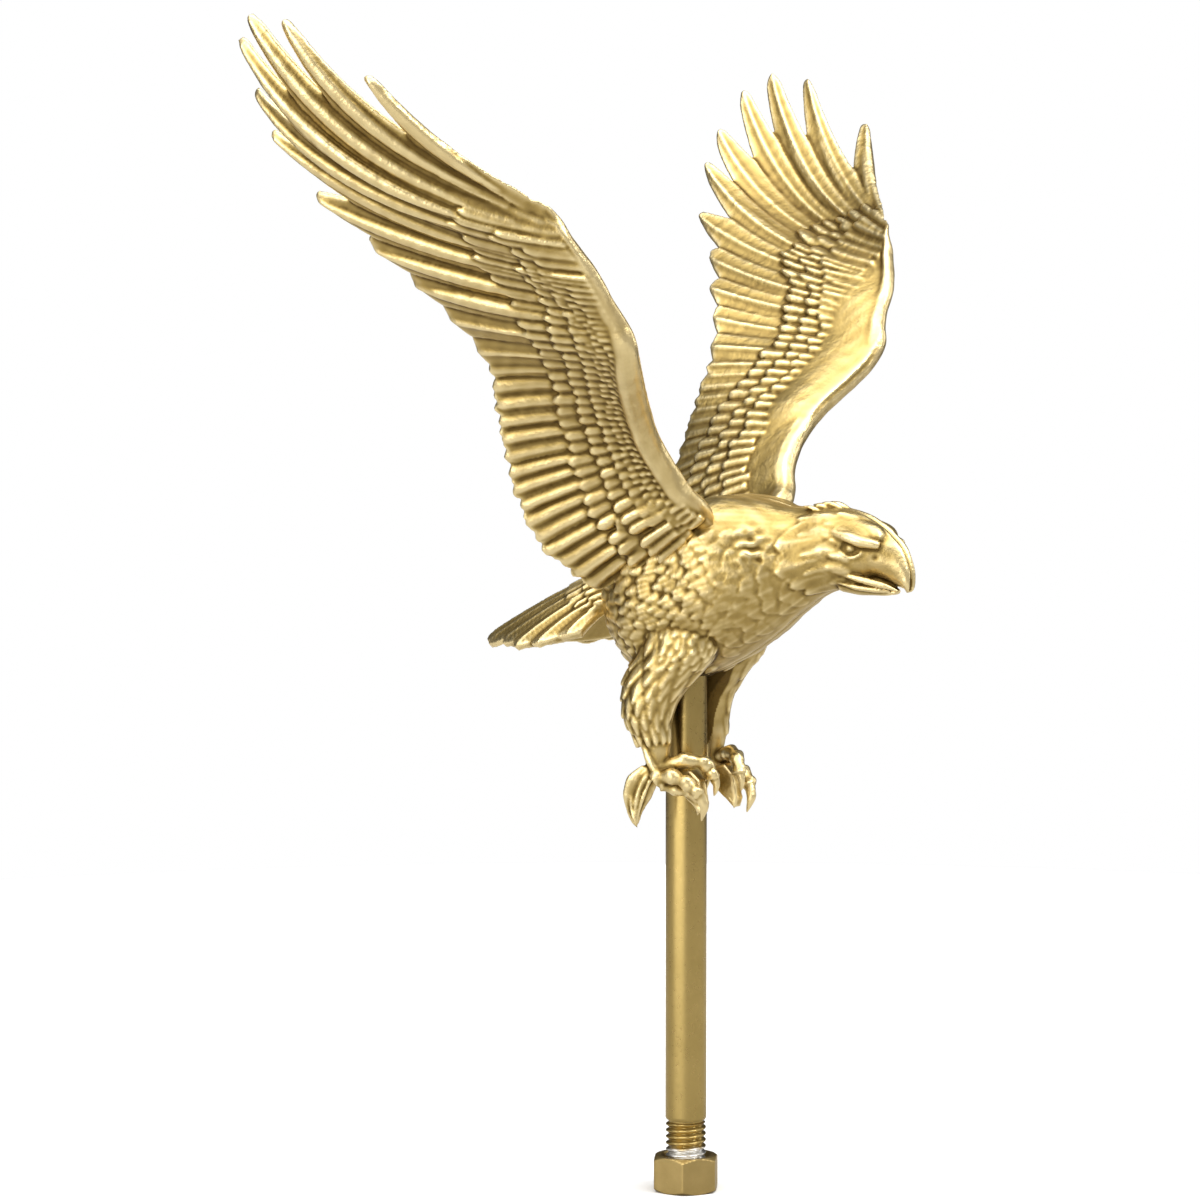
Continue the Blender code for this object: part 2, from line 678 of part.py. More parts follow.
def make_screws(steel):
    for end, place in HALF_SCREWS.items():
        screw = screw_along_x(
            "screw",
            place,
            HALF_SCREW_TIP,
            HALF_SCREW_HEAD_END,
            HALF_SCREW_HEAD_START,
            HALF_SCREW_RADIUS,
            HALF_SCREW_HEAD_RADIUS,
        )
        finish(screw, "halves_screw_" + end, steel)
    for side, way in (("left", 1), ("right", -1)):
        for end, place in WING_SCREWS.items():
            screw = screw_along_x(
                "screw",
                place,
                way * WING_SCREW_TIP,
                way * WING_SCREW_HEAD_START,
                way * WING_SCREW_HEAD_END,
                WING_SCREW_RADIUS,
                WING_SCREW_HEAD_RADIUS,
            )
            finish(screw, side + "_wing_screw_" + end, steel)


def main():
    for obj in list(bpy.data.objects):
        bpy.data.objects.remove(obj)
    cast_gold = make_material("cast_gold", GOLD, 0.32)
    rod_gold = make_material("rod_gold", GOLD, 0.25)
    nut_gold = make_material("nut_gold", GOLD, 0.35)
    steel = make_material("steel", STEEL, 0.3)

    left_half = left_half_casting()
    drill_common_holes(left_half)
    right_half = mirrored(left_half, "half")
    drill_half_screws(left_half, right_half)
    finish(left_half, "body_left_half", cast_gold)
    finish(right_half, "body_right_half", cast_gold)

    left_wing = left_wing_casting()
    finish(mirrored(left_wing, "wing"), "right_wing", cast_gold)
    finish(left_wing, "left_wing", cast_gold)

    finish(tail_casting(), "tail_fan", cast_gold)
    finish(spindle_rod(), "spindle", rod_gold)
    finish(nut_body(), "hex_nut", nut_gold)
    make_pins(steel)
    make_screws(steel)


main()
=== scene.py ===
"""Flying eagle pole-top ornament: the detailed look of the cast eagle, its spindle and nut.

Shapes are built in millimetres round the spindle's lower end, which the frame gives, with the
eagle facing -Y and its left side at +X. They are turned into metres when a piece is made.
"""

import math

import bmesh
import bpy
import numpy as np
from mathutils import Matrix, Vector


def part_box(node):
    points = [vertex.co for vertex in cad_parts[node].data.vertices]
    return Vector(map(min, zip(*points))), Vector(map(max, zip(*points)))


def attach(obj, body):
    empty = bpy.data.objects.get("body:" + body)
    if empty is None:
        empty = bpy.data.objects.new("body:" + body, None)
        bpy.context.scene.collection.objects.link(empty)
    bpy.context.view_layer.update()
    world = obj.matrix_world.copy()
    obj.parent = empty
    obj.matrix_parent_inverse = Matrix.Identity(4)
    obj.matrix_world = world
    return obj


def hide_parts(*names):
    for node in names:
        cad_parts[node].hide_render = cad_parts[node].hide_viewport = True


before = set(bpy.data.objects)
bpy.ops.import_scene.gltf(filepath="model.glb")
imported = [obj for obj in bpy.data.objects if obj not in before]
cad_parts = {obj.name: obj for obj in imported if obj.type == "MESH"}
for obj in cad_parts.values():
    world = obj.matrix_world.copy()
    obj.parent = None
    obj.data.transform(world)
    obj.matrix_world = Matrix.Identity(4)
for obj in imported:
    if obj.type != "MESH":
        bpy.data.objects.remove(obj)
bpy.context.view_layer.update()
MM = 0.001
RANDOM = np.random.default_rng(11)
SEAM = 0.15  # each half casting stops this far from the middle plane
WING_SEAT_X = 22.0  # where the wing's root meets the body
# Size of the cells in which feathers are fused into one surface; coarser for a quick test.
WING_VOXEL = 0.45
BODY_VOXEL = 0.42

rod_low, rod_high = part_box("spindle")
nut_low, nut_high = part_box("hex_nut")
BASE = np.array([(rod_low.x + rod_high.x) / 2, (rod_low.y + rod_high.y) / 2, rod_low.z])
ROD_RADIUS = (rod_high.x - rod_low.x) / 2 / MM
ROD_LENGTH = (rod_high.z - rod_low.z) / MM


def new_object(name, data):
    obj = bpy.data.objects.new(name, data)
    bpy.context.scene.collection.objects.link(obj)
    return obj


# ---- shader nodes ----


class Graph:
    """Short forms for adding nodes to a node tree and joining them."""

    def __init__(self, tree):
        self.tree = tree

    def add(self, kind, **values):
        node = self.tree.nodes.new(kind)
        for key, value in values.items():
            if key in node.inputs:
                node.inputs[key].default_value = value
            else:
                setattr(node, key, value)
        return node

    def feed(self, source, socket):
        """Joins a node's output to a socket, or sets a number or colour on it."""
        if isinstance(source, (float, tuple)):
            socket.default_value = source
        else:
            self.tree.links.new(source, socket)

    def span(self, source, low, high, to_low=0.0, to_high=1.0, **settings):
        limits = {"From Min": low, "From Max": high, "To Min": to_low, "To Max": to_high}
        node = self.add("ShaderNodeMapRange", **limits, **settings)
        self.feed(source, node.inputs["Value"])
        return node.outputs["Result"]

    def blend(self, factor, first, second):
        node = self.add("ShaderNodeMix", data_type="RGBA")
        self.feed(factor, node.inputs[0])
        self.feed(first, node.inputs[6])
        self.feed(second, node.inputs[7])
        return node.outputs[2]

    def combine(self, kind, operation, first, second, socket=1):
        node = self.add(kind, operation=operation)
        self.feed(first, node.inputs[0])
        self.feed(second, node.inputs[socket])
        return node.outputs


class Metal(Graph):
    """The node tree of a metal material."""

    def __init__(self, name):
        self.material = bpy.data.materials.new(name)
        self.material.use_nodes = True
        super().__init__(self.material.node_tree)
        self.shader = self.tree.nodes["Principled BSDF"]

    def coordinate(self):
        node = self.tree.nodes.get("Texture Coordinate") or self.add("ShaderNodeTexCoord")
        return node.outputs["Object"]

    def noise(self, scale, detail=4.0):
        node = self.add("ShaderNodeTexNoise", Scale=scale, Detail=detail, Roughness=0.55)
        self.feed(self.coordinate(), node.inputs["Vector"])
        return node.outputs["Fac"]

    def attribute(self, name):
        return self.add("ShaderNodeAttribute", attribute_name=name).outputs["Fac"]

    def total(self, first, second):
        return self.combine("ShaderNodeMath", "ADD", first, second)[0]

    def finish(self, colour, roughness, height, depth):
        """Sets the metal's colour, roughness and fine relief, which is depth metres deep."""
        self.shader.inputs["Metallic"].default_value = 1.0
        self.feed(colour, self.shader.inputs["Base Color"])
        self.feed(roughness, self.shader.inputs["Roughness"])
        bump = self.add("ShaderNodeBump", Distance=depth, Strength=1.0)
        self.feed(height, bump.inputs["Height"])
        self.feed(bump.outputs["Normal"], self.shader.inputs["Normal"])
        return self.material


# ---- camera, floor and light ----

# Angles in degrees, distances in metres.
CAMERA_TURN = 31.5  # from the eagle's right side towards its front
CAMERA_RISE = 3.58
CAMERA_DISTANCE = 1.2617
CAMERA_LENS = 123.0
AIM_HEIGHT = 0.1829
AIM_LEFT = 0.02663  # how far the middle of the view lies left of the spindle
LIGHT_AIM = Vector((0.0, 0.0, 0.2))
FLOOR_RADIUS = 0.8
FLOOR_GAP = 0.00005


def add_camera():
    turn = math.radians(CAMERA_TURN)
    rise = math.radians(CAMERA_RISE)
    level = math.cos(rise)
    away = Vector((-math.cos(turn) * level, -math.sin(turn) * level, math.sin(rise)))
    right = Vector((math.sin(turn), -math.cos(turn), 0.0))
    aim = Vector(BASE) + Vector((0.0, 0.0, AIM_HEIGHT)) - right * AIM_LEFT
    data = bpy.data.cameras.new("camera")
    data.lens = CAMERA_LENS
    data.sensor_width = 36.0
    camera = new_object("camera", data)
    camera.location = aim + away * CAMERA_DISTANCE
    camera.rotation_mode = "QUATERNION"
    camera.rotation_quaternion = (-away).to_track_quat("-Z", "Y")
    bpy.context.scene.camera = camera


def add_floor():
    corners = level_ring(FLOOR_RADIUS, full_turn(64), nut_low.z - FLOOR_GAP)
    mesh = bpy.data.meshes.new("floor")
    mesh.from_pydata(corners.tolist(), [], [tuple(range(64))])
    floor = new_object("floor", mesh)
    material = bpy.data.materials.new("floor")
    material.use_nodes = True
    graph = Graph(material.node_tree)
    shader = graph.tree.nodes["Principled BSDF"]
    shader.inputs["Roughness"].default_value = 0.9
    # The metal reflects a greyer floor than the one seen behind it, as under a shaded table.
    seen = graph.add("ShaderNodeLightPath").outputs["Is Camera Ray"]
    colour = graph.blend(seen, (0.46, 0.45, 0.43, 1.0), (0.9, 0.9, 0.9, 1.0))
    graph.feed(colour, shader.inputs["Base Color"])
    mesh.materials.append(material)


def place_light(data, place, way):
    light = new_object(data.name, data)
    light.location = place
    light.rotation_euler = Vector(way).to_track_quat("-Z", "Y").to_euler()


def add_lamp(name, place, size, power):
    """A soft rectangular lamp aimed at the eagle."""
    data = bpy.data.lights.new(name, "AREA")
    data.shape = "RECTANGLE"
    data.size, data.size_y = size
    data.energy = power
    place_light(data, place, LIGHT_AIM - Vector(place))


def add_sun(name, way, strength, angle_deg):
    data = bpy.data.lights.new(name, "SUN")
    data.energy = strength
    data.angle = math.radians(angle_deg)
    place_light(data, (0.0, 0.0, 0.0), way)


def add_world():
    """A white backdrop, and a grey room with a bright and a dark wall for reflections."""
    world = bpy.data.worlds.new("world")
    world.use_nodes = True
    graph = Graph(world.node_tree)
    nodes = graph.tree.nodes
    backdrop = nodes["Background"]
    backdrop.inputs["Color"].default_value = (1.0, 1.0, 1.0, 1.0)
    backdrop.inputs["Strength"].default_value = 1.0
    around = graph.add("ShaderNodeTexCoord").outputs["Generated"]
    split = graph.add("ShaderNodeSeparateXYZ")
    graph.feed(around, split.inputs[0])
    ramp = graph.add("ShaderNodeValToRGB")
    stops = ramp.color_ramp.elements
    stops[0].color = (0.5, 0.48, 0.45, 1.0)
    stops[1].color = (1.0, 1.0, 1.0, 1.0)
    stops.new(0.35).color = (0.28, 0.27, 0.25, 1.0)
    graph.feed(split.outputs["Z"], ramp.inputs["Fac"])
    # The bright wall is on the eagle's right, the dark one behind it on its left.
    glow = wall(graph, around, (-0.986, 0.165, 0.0), 0.76, 0.98, 0.0, 3.0)
    shade = wall(graph, around, (0.85, 0.52, 0.0), 0.0, 0.7, 1.0, 0.12)
    math_node = "ShaderNodeVectorMath"
    scaled = graph.combine(math_node, "SCALE", ramp.outputs["Color"], shade, "Scale")
    room = graph.add("ShaderNodeBackground")
    graph.feed(graph.combine(math_node, "ADD", scaled[0], glow)[0], room.inputs["Color"])
    mix = graph.add("ShaderNodeMixShader")
    graph.feed(graph.add("ShaderNodeLightPath").outputs["Is Camera Ray"], mix.inputs["Fac"])
    graph.feed(room.outputs[0], mix.inputs[1])
    graph.feed(backdrop.outputs[0], mix.inputs[2])
    graph.feed(mix.outputs[0], nodes["World Output"].inputs["Surface"])
    bpy.context.scene.world = world


def wall(graph, around, way, low, high, to_low, to_high):
    """Brightness that changes smoothly as the direction turns towards way."""
    toward = graph.combine("ShaderNodeVectorMath", "DOT_PRODUCT", around, way)["Value"]
    return graph.span(toward, low, high, to_low, to_high, interpolation_type="SMOOTHSTEP")


def add_stage():
    bpy.context.scene.view_settings.view_transform = "Standard"
    add_camera()
    add_floor()
    add_world()
    add_sun("sky", (0.25, 0.35, -1.0), 2.9, 80.0)
    add_lamp("key", (0.2, -1.6, 1.3), (0.6, 0.6), 11.0)
    add_lamp("over", (-0.5, 0.6, 1.5), (1.3, 1.3), 7.0)
    add_lamp("right", (1.3, -0.9, 0.6), (0.4, 0.9), 3.0)


# ---- points, rings and tubes ----


def unit(rows):
    return rows / np.maximum(np.linalg.norm(rows, axis=-1, keepdims=True), 1e-9)


def full_turn(count):
    """Angles evenly spaced all the way round."""
    return np.linspace(0, 2 * np.pi, count, endpoint=False)


def level_ring(radius, angle, height):
    """A ring round the spindle's axis at one height."""
    return np.stack([radius * np.cos(angle), radius * np.sin(angle), 0 * angle + height], -1)


def ovals(across, up, count, flat):
    """A ring of count points for each pair of directions."""
    angle = full_turn(count)[None, :, None]
    return across[:, None] * np.cos(angle) + up[:, None] * np.sin(angle) * flat


def block(low, high):
    x0, y0, z0 = low
    x1, y1, z1 = high
    ring = [(x0, y0), (x1, y0), (x1, y1), (x0, y1)]
    return np.array([[(x, y, z) for x, y in ring] for z in (z0, z1)], float)


def line_measure(points):
    """Length along a line of points, from its start to each of them."""
    return np.concatenate([[0], np.cumsum(np.linalg.norm(np.diff(points, axis=0), axis=1))])


def spline(rows, place):
    """Catmull-Rom curve through rows at real positions."""
    rows = np.asarray(rows, float)
    place = np.atleast_1d(np.asarray(place, float))
    last = len(rows) - 1
    index = np.clip(np.floor(place).astype(int), 0, last - 1)
    f = (place - index)[:, None]
    before = rows[np.maximum(index - 1, 0)]
    start = rows[index]
    end = rows[index + 1]
    after = rows[np.minimum(index + 2, last)]
    return 0.5 * (
        2 * start
        + (end - before) * f
        + (2 * before - 5 * start + 4 * end - after) * f**2
        + (3 * start - before - 3 * end + after) * f**3
    )


def outward(surface, u, v, u_step, v_step):
    """Directions square to surface(u, v), by the points a step either side."""
    du = surface(u + u_step, v) - surface(u - u_step, v)
    dv = surface(u, v + v_step) - surface(u, v - v_step)
    return unit(np.cross(du, dv))


class Shells:
    """Collects closed tubes of rings, each (rows, count, 3)."""

    def __init__(self):
        self.points = []
        self.faces = []
        self.total = 0

    def tube(self, rings):
        rows, count, _ = rings.shape
        ends = np.stack([rings[0].mean(0), rings[-1].mean(0)])
        self.points.append(np.concatenate([rings.reshape(-1, 3), ends]))
        row = np.arange(rows - 1)[:, None] * count
        column = np.arange(count)[None, :]
        after = (column + 1) % count
        quads = np.stack([row + column, row + after, row + count + after, row + count + column], -1)
        self.faces += (quads.reshape(-1, 4) + self.total).tolist()
        first = self.total + rows * count
        last = self.total + (rows - 1) * count
        for step in range(count):
            beside = (step + 1) % count
            self.faces.append([first, self.total + beside, self.total + step])
            self.faces.append([first + 1, last + step, last + beside])
        self.total += rows * count + 2

    def mesh(self, name):
        mesh = bpy.data.meshes.new(name)
        mesh.from_pydata(np.concatenate(self.points).tolist(), [], self.faces)
        mesh.update()
        return mesh


def core(shells, surface, last, rows, count):
    """The closed body inside a surface whose u runs from 0 to last and whose v goes round it."""
    u = np.linspace(0, last, rows)
    lines = [surface(u, np.full(rows, angle)) for angle in full_turn(count)]
    shells.tube(np.stack(lines, axis=1))


def slab(shells, layers):
    """A closed sheet; each layer holds its upper and its lower line."""
    tops, lows = zip(*layers, strict=True)
    shells.tube(np.stack([*tops, *lows[::-1]], axis=1))


def tube_along(shells, path, radii, rows=24, count=16, flat=1.0, side=(1.0, 0.0, 0.0)):
    """A round or flattened bar on a smooth curve; radii are given at the path's points."""
    place = np.linspace(0, len(path) - 1, rows)
    centre = spline(path, place)
    radius = np.interp(place, np.arange(len(path)), radii)
    along = unit(np.gradient(centre, axis=0))
    side = np.asarray(side, float)
    across = unit(side - along * (along @ side)[:, None])
    ring = ovals(across, np.cross(across, along), count, flat)
    shells.tube(centre[:, None] + ring * radius[:, None, None])


def blob(shells, centre, sizes, tilt_deg=0.0, rows=12, count=16):
    """An egg shape with half sizes along X, Y and Z, tipped round X."""
    polar = np.linspace(0.05, np.pi - 0.05, rows)
    angle = full_turn(count)
    x = np.sin(polar)[:, None] * np.cos(angle)[None] * sizes[0]
    y = np.sin(polar)[:, None] * np.sin(angle)[None] * sizes[1]
    z = np.cos(polar)[:, None] * np.ones(count)[None] * sizes[2]
    c, s = math.cos(math.radians(tilt_deg)), math.sin(math.radians(tilt_deg))
    shells.tube(np.stack([x, y * c - z * s, y * s + z * c], -1) + np.asarray(centre, float))


# Across a feather: shares of its half width at which its section has points.
SECTION = np.array([0.0, 0.12, 0.26, 0.4, 0.54, 0.68, 0.82, 0.93, 1.0])
QUILL_WIDTH = 0.16
BARB_PITCH = 1.7


def feather(
    shells, surface, v, sides, span, way=0, lift=(0.0, 0.0), crown=0.8, edge=0.35, quill=0.25,
    tilt=0.0, parting=0.6, tip_half=0.0, taper=0.5, barbs=0.0, spread=1.1, rows=20, peak=0.0,
    sink=0.0,
):
    """One feather lying on surface(u, v), from u = span[0] to span[1] along constant v.

    sides are the v of its two borders, or one number, half its width in v. way 0 shows it on
    both faces; 1 and -1 lay it on the upper or the lower one, lifted by lift at base and tip.
    crown, edge and quill are heights in the middle, at the borders and along the quill. Past
    the parting, which may differ on its two sides, it narrows to tip_half. Its base lies sink
    under the surface. peak thickens the far face of a feather that shows on both.
    """
    step = np.linspace(0, 1, rows)
    u = span[0] + (span[1] - span[0]) * step
    centre, up = surface(u, np.full(rows, v))
    if way:
        up = up * way
    borders = sides if isinstance(sides, tuple) else (v - sides, v + sides)
    partings = parting if isinstance(parting, tuple) else (parting, parting)
    end = np.clip((step - 0.95) / 0.05, 0, 1)
    closing = np.sqrt(np.maximum(1 - end**2, 0.02))
    reach = []
    for border, part in zip(borders, partings, strict=True):
        other, _ = surface(u, np.full(rows, border))
        vector = other - centre
        width = np.linalg.norm(vector, axis=1)
        at_part = np.interp(part, step, width)
        past = np.clip((step - part) / (1 - part), 0, 1)
        narrowed = tip_half + (at_part - tip_half) * (1 - past) ** taper
        shaped = np.where(step < part, width * spread, np.minimum(narrowed * spread, width * spread))
        reach.append(unit(vector) * (shaped * closing)[:, None])
    across = np.concatenate([-SECTION[:0:-1], SECTION])
    aside = np.abs(across)
    base = np.where(across[None, :, None] < 0, reach[0][:, None], reach[1][:, None])
    base = base * aside[None, :, None]
    length = np.linalg.norm(np.diff(centre, axis=0), axis=1).sum()
    strands = step[:, None] * length / BARB_PITCH - aside[None] * 2.1
    fall = np.sqrt(np.maximum(1 - np.clip((step - 0.9) / 0.1, 0, 1) ** 2, 0.05))[:, None]
    height = (
        edge
        + crown * (1 - across**2)[None] * fall
        + quill * np.exp(-((across / QUILL_WIDTH) ** 2))[None] * fall
        + barbs * np.cos(2 * np.pi * strands) * np.sin(np.pi * aside)[None]
    )
    level = (lift[0] + (lift[1] - lift[0]) * step)[:, None] + tilt * across[None]
    level = level - sink * (np.clip(1 - step / 0.45, 0, 1) ** 2)[:, None]
    if way:
        depth = np.full_like(height, edge + 0.6)
    else:
        depth = height + peak * (1 - aside)[None] * fall
    top = centre[:, None] + base + up[:, None] * (level + height)[..., None]
    low = centre[:, None] + base + up[:, None] * (level - depth)[..., None]
    shells.tube(np.concatenate([top, low[:, ::-1]], axis=1))


# ---- meshes: reading, fusing, smoothing, cutting, finishing ----


def read_points(mesh, what="co"):
    """The mesh's points, or its outward directions where what is normal."""
    rows = np.empty(len(mesh.vertices) * 3, np.float32)
    mesh.vertices.foreach_get(what, rows)
    return rows.reshape(-1, 3).astype(float)


def set_points(mesh, points):
    mesh.vertices.foreach_set("co", points.astype(np.float32).ravel())
    mesh.update()


def store(mesh, name, values):
    attribute = mesh.attributes.new(name, "FLOAT", "POINT")
    attribute.data.foreach_set("value", values.astype(np.float32))


def smoothed(mesh, rounds):
    """The mesh's points after each has moved halfway to its neighbours' mean, round by round."""
    points = read_points(mesh)
    count = len(points)
    edges = np.empty(len(mesh.edges) * 2, np.int32)
    mesh.edges.foreach_get("vertices", edges)
    ends = np.concatenate([edges[0::2], edges[1::2]])
    others = np.concatenate([edges[1::2], edges[0::2]])
    links = np.maximum(np.bincount(ends, minlength=count), 1)
    for _ in range(rounds):
        sums = [np.bincount(ends, points[others, axis], count) for axis in range(3)]
        mean = np.stack(sums, -1) / links[:, None]
        points = points + (mean - points) * 0.5
    return points


def set_relief(mesh, painted_shade=None):
    """Stores how far each point stands above (over 0.5) or below its surroundings.

    The mask passed in, where given, is 1 on surfaces that get painted shade: their relief drops to 0, the
    darkest gold.
    """
    points = read_points(mesh)
    normals = read_points(mesh, "normal")
    fine = ((points - smoothed(mesh, 6)) * normals).sum(1) / 0.06
    broad = ((points - smoothed(mesh, 40)) * normals).sum(1) / 0.35
    value = np.clip(0.5 + 0.25 * fine + 0.3 * broad, 0, 1)
    # Painted shade: masked recesses are set to the darkest relief.
    if painted_shade:
        value = value * (1 - painted_shade(points))
    store(mesh, "relief", value)


def applied(obj):
    graph = bpy.context.evaluated_depsgraph_get()
    mesh = bpy.data.meshes.new_from_object(obj.evaluated_get(graph))
    obj.modifiers.clear()
    old = obj.data
    obj.data = mesh
    bpy.data.meshes.remove(old)


def united(shells, name, voxel, rounds):
    """One closed surface round all shells, lightly smoothed as a casting is."""
    obj = new_object(name, shells.mesh(name))
    remesh = obj.modifiers.new("union", "REMESH")
    remesh.mode = "VOXEL"
    remesh.voxel_size = voxel
    applied(obj)
    set_points(obj.data, smoothed(obj.data, rounds))
    return obj


def carve(obj, rings):
    """Cuts the closed tube through these rings out of a piece."""
    shells = Shells()
    shells.tube(rings)
    tool = new_object("tool", shells.mesh("tool"))
    modifier = obj.modifiers.new("cut", "BOOLEAN")
    modifier.operation = "DIFFERENCE"
    modifier.solver = "MANIFOLD"
    modifier.object = tool
    applied(obj)
    bpy.data.objects.remove(tool)


def mirrored(obj, name):
    """A copy of a piece for the other side of the middle plane."""
    work = bmesh.new()
    work.from_mesh(obj.data)
    for corner in work.verts:
        corner.co.x = -corner.co.x
    bmesh.ops.reverse_faces(work, faces=work.faces)
    mesh = bpy.data.meshes.new(name)
    work.to_mesh(mesh)
    work.free()
    return new_object(name, mesh)


def push(obj, distance):
    """Moves every point along its own outward direction by distance."""
    mesh = obj.data
    set_points(mesh, read_points(mesh) + read_points(mesh, "normal") * distance[:, None])


def waves(points, pitch, count=6):
    """Irregular smooth ripples between about -1 and 1."""
    total = np.zeros(len(points))
    for _ in range(count):
        way = unit(RANDOM.normal(size=3))
        turn = 2 * np.pi / (pitch * RANDOM.uniform(0.7, 1.4))
        total += np.sin(points @ way * turn + RANDOM.uniform(0, 6.28))
    return total / math.sqrt(count)


def make_uneven(obj, depth, pitch):
    """The slight unevenness of a hand-finished casting."""
    push(obj, depth * waves(read_points(obj.data), pitch))


def finish_piece(obj, name, material, body, node, sharp_deg=None, painted_shade=None):
    """Scales a piece to metres, places it on the frame and names what it stands for.

    Castings get their relief, which sets their roughness, painted shade and painted highlights; turned
    pieces keep edges over sharp_deg sharp.
    """
    mesh = obj.data
    obj.name = name
    mesh.name = name
    if sharp_deg is None:
        set_relief(mesh, painted_shade)
    set_points(mesh, read_points(mesh) * MM + BASE)
    mesh.materials.clear()
    mesh.materials.append(material)
    mesh.shade_smooth()
    if sharp_deg:
        mesh.set_sharp_from_angle(angle=math.radians(sharp_deg))
    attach(obj, body)
    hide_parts(node)


# ---- wing ----

# Left wing: where each feather line leaves the leading edge, where it ends, and how far the
# middle of a long feather bows away from the straight line.
LEAD = (
    (20, -22, 210), (27, -21.5, 214.5), (31.5, -20.2, 217.5), (35, -18, 223), (40, -17, 228.5),
    (45.5, -17, 233.5), (54, -19, 241), (66, -23.5, 249.5), (72.5, -26.5, 255.5), (77, -28, 262),
    (80, -26.5, 267.5), (84.5, -25, 273), (89, -24.5, 278.5), (92.5, -23, 283.5), (95.5, -21, 288),
    (98, -19.5, 291.5), (100, -18, 295), (102.5, -16, 297.5), (104.5, -13.5, 299.5),
)
TIP = (
    (14, 17, 182), (23, 20.5, 187.5), (32, 26, 194.5), (39, 30.5, 202), (46, 33, 214.5),
    (52.5, 32.5, 228), (58, 32, 239.5), (63, 30.5, 251), (69, 31.5, 260), (77.5, 35.5, 269.5),
    (86.5, 42, 279.5), (98, 48.5, 289.5), (110.5, 60, 304), (124.5, 66, 322), (132.5, 65.5, 334),
    (144, 62.5, 348), (150.5, 54.5, 354), (152, 41, 352), (147.5, 16, 335.5),
)
BOW = (
    (0, 0, 0), (0, 0, 0), (0, 0, 0), (0, 0, 0), (0, 0, 0), (0, 0, 0), (0.5, 0.5, -0.5),
    (1, 1, -0.5), (1.5, 1.5, -1), (2, 2.5, -2.5), (1, 1.5, -3), (-2, 1, -3.5), (-0.5, 4.5, -3.5),
    (-1, 4.5, -7), (6, 9, -7), (6, 8, -10.5), (3.5, 6.5, -10.5), (5, 6.5, -5.5), (1, 2.5, -2.5),
)
CAMBER = (0.8, 1.2, 2.4, 3.2, 3.5, 3.5, 3.5, 3.3, 3, 2.6, 2.2, 1.8, 1.4, 1, 0.8, 0.6, 0.5, 0.4, 0.3)
LAST_RIB = len(LEAD) - 1
FIRST_LONG = 8  # from here to the last rib each rib is one long feather
# Share of the chord at which a long feather parts from the one before it, from rib 8 on.
PARTINGS = (0.96, 0.96, 0.95, 0.93, 0.88, 0.77, 0.78, 0.76, 0.76, 0.68, 0.52)
ARM_RADIUS = (3.8, 3.6, 3.4, 3.3, 3.3, 3.3, 3.4, 3.6, 3.9, 4.0, 3.5, 3.1, 2.8, 2.6, 2.4, 2.2, 2.1, 2.0, 1.9)


def wing_middle(u, v):
    """Points and upper-side directions of the wing's middle surface.

    u is the share of the chord from the leading edge, v counts ribs from the shoulder.
    """
    v = np.clip(v, 0, LAST_RIB)
    lead = spline(LEAD, v)
    chord = spline(TIP, v) - lead
    nudge = 0.1
    after = np.minimum(v + nudge, LAST_RIB)
    before = np.maximum(v - nudge, 0)
    along = spline(LEAD, after) + spline(TIP, after) - spline(LEAD, before) - spline(TIP, before)
    up = unit(np.cross(along, chord))
    arch = (4 * u * (1 - u))[:, None]
    camber = np.interp(v, np.arange(LAST_RIB + 1), CAMBER)[:, None]
    bow = spline(BOW, v)
    point = lead + chord * u[:, None] + up * camber * arch + bow * arch
    slope = chord + (bow + up * camber) * (4 - 8 * u)[:, None]
    return point, unit(np.cross(along, slope))


def rib_places(pitch, low, high, share=1.0):
    """Rib positions from low to high, a pitch apart along the line at that share of the chord."""
    v = np.linspace(low, high, 400)
    if callable(share):
        share = share(v)
    line = spline(LEAD, v) + (spline(TIP, v) - spline(LEAD, v)) * np.reshape(share, (-1, 1))
    length = line_measure(line)
    count = max(int(round(length[-1] / pitch)), 1)
    return np.interp(np.linspace(0, length[-1], count + 1), length, v)


def wing_skin(shells):
    """The closed sheet under the feathers, thick at the front."""
    v = np.linspace(0, LAST_RIB, 110)
    shares = (0.0, 0.03, 0.08, 0.16, 0.28, 0.42, 0.56, 0.7, 0.84, 1.0)
    halves = (0.6, 2.2, 2.6, 2.2, 1.5, 1.0, 0.8, 0.7, 0.6, 0.4)
    reach = np.interp(v, (0, 10, 11.5, 13, 16, 17.3, 18), (0.93, 0.88, 0.8, 0.72, 0.68, 0.5, 0.48))
    slim = np.interp(v, (0, 3, 8, 12, 18), (1.5, 1.25, 1.0, 0.8, 0.6))
    layers = []
    for share, half in zip(shares, halves, strict=True):
        point, up = wing_middle(share * reach, v)
        rise = up * (half * slim)[:, None]
        layers.append((point + rise, point - rise))
    slab(shells, layers)


def wing_arm(shells):
    """Smooth ridge along the leading edge, standing out more on the underside."""
    v = np.linspace(0, LAST_RIB, 90)
    radius = np.interp(v, np.arange(LAST_RIB + 1), ARM_RADIUS)
    lead = spline(LEAD, v)
    inward = unit(spline(TIP, v) - lead)
    _, up = wing_middle(np.full(len(v), 0.05), v)
    deep = np.interp(v, (0, 3, 6, 9, 12, 18), (0.0, -0.6, -0.9, -0.6, -0.2, 0.0))
    centre = lead + inward * radius[:, None] + up * deep[:, None]
    shells.tube(centre[:, None] + ovals(inward, up, 20, 0.95) * radius[:, None, None])


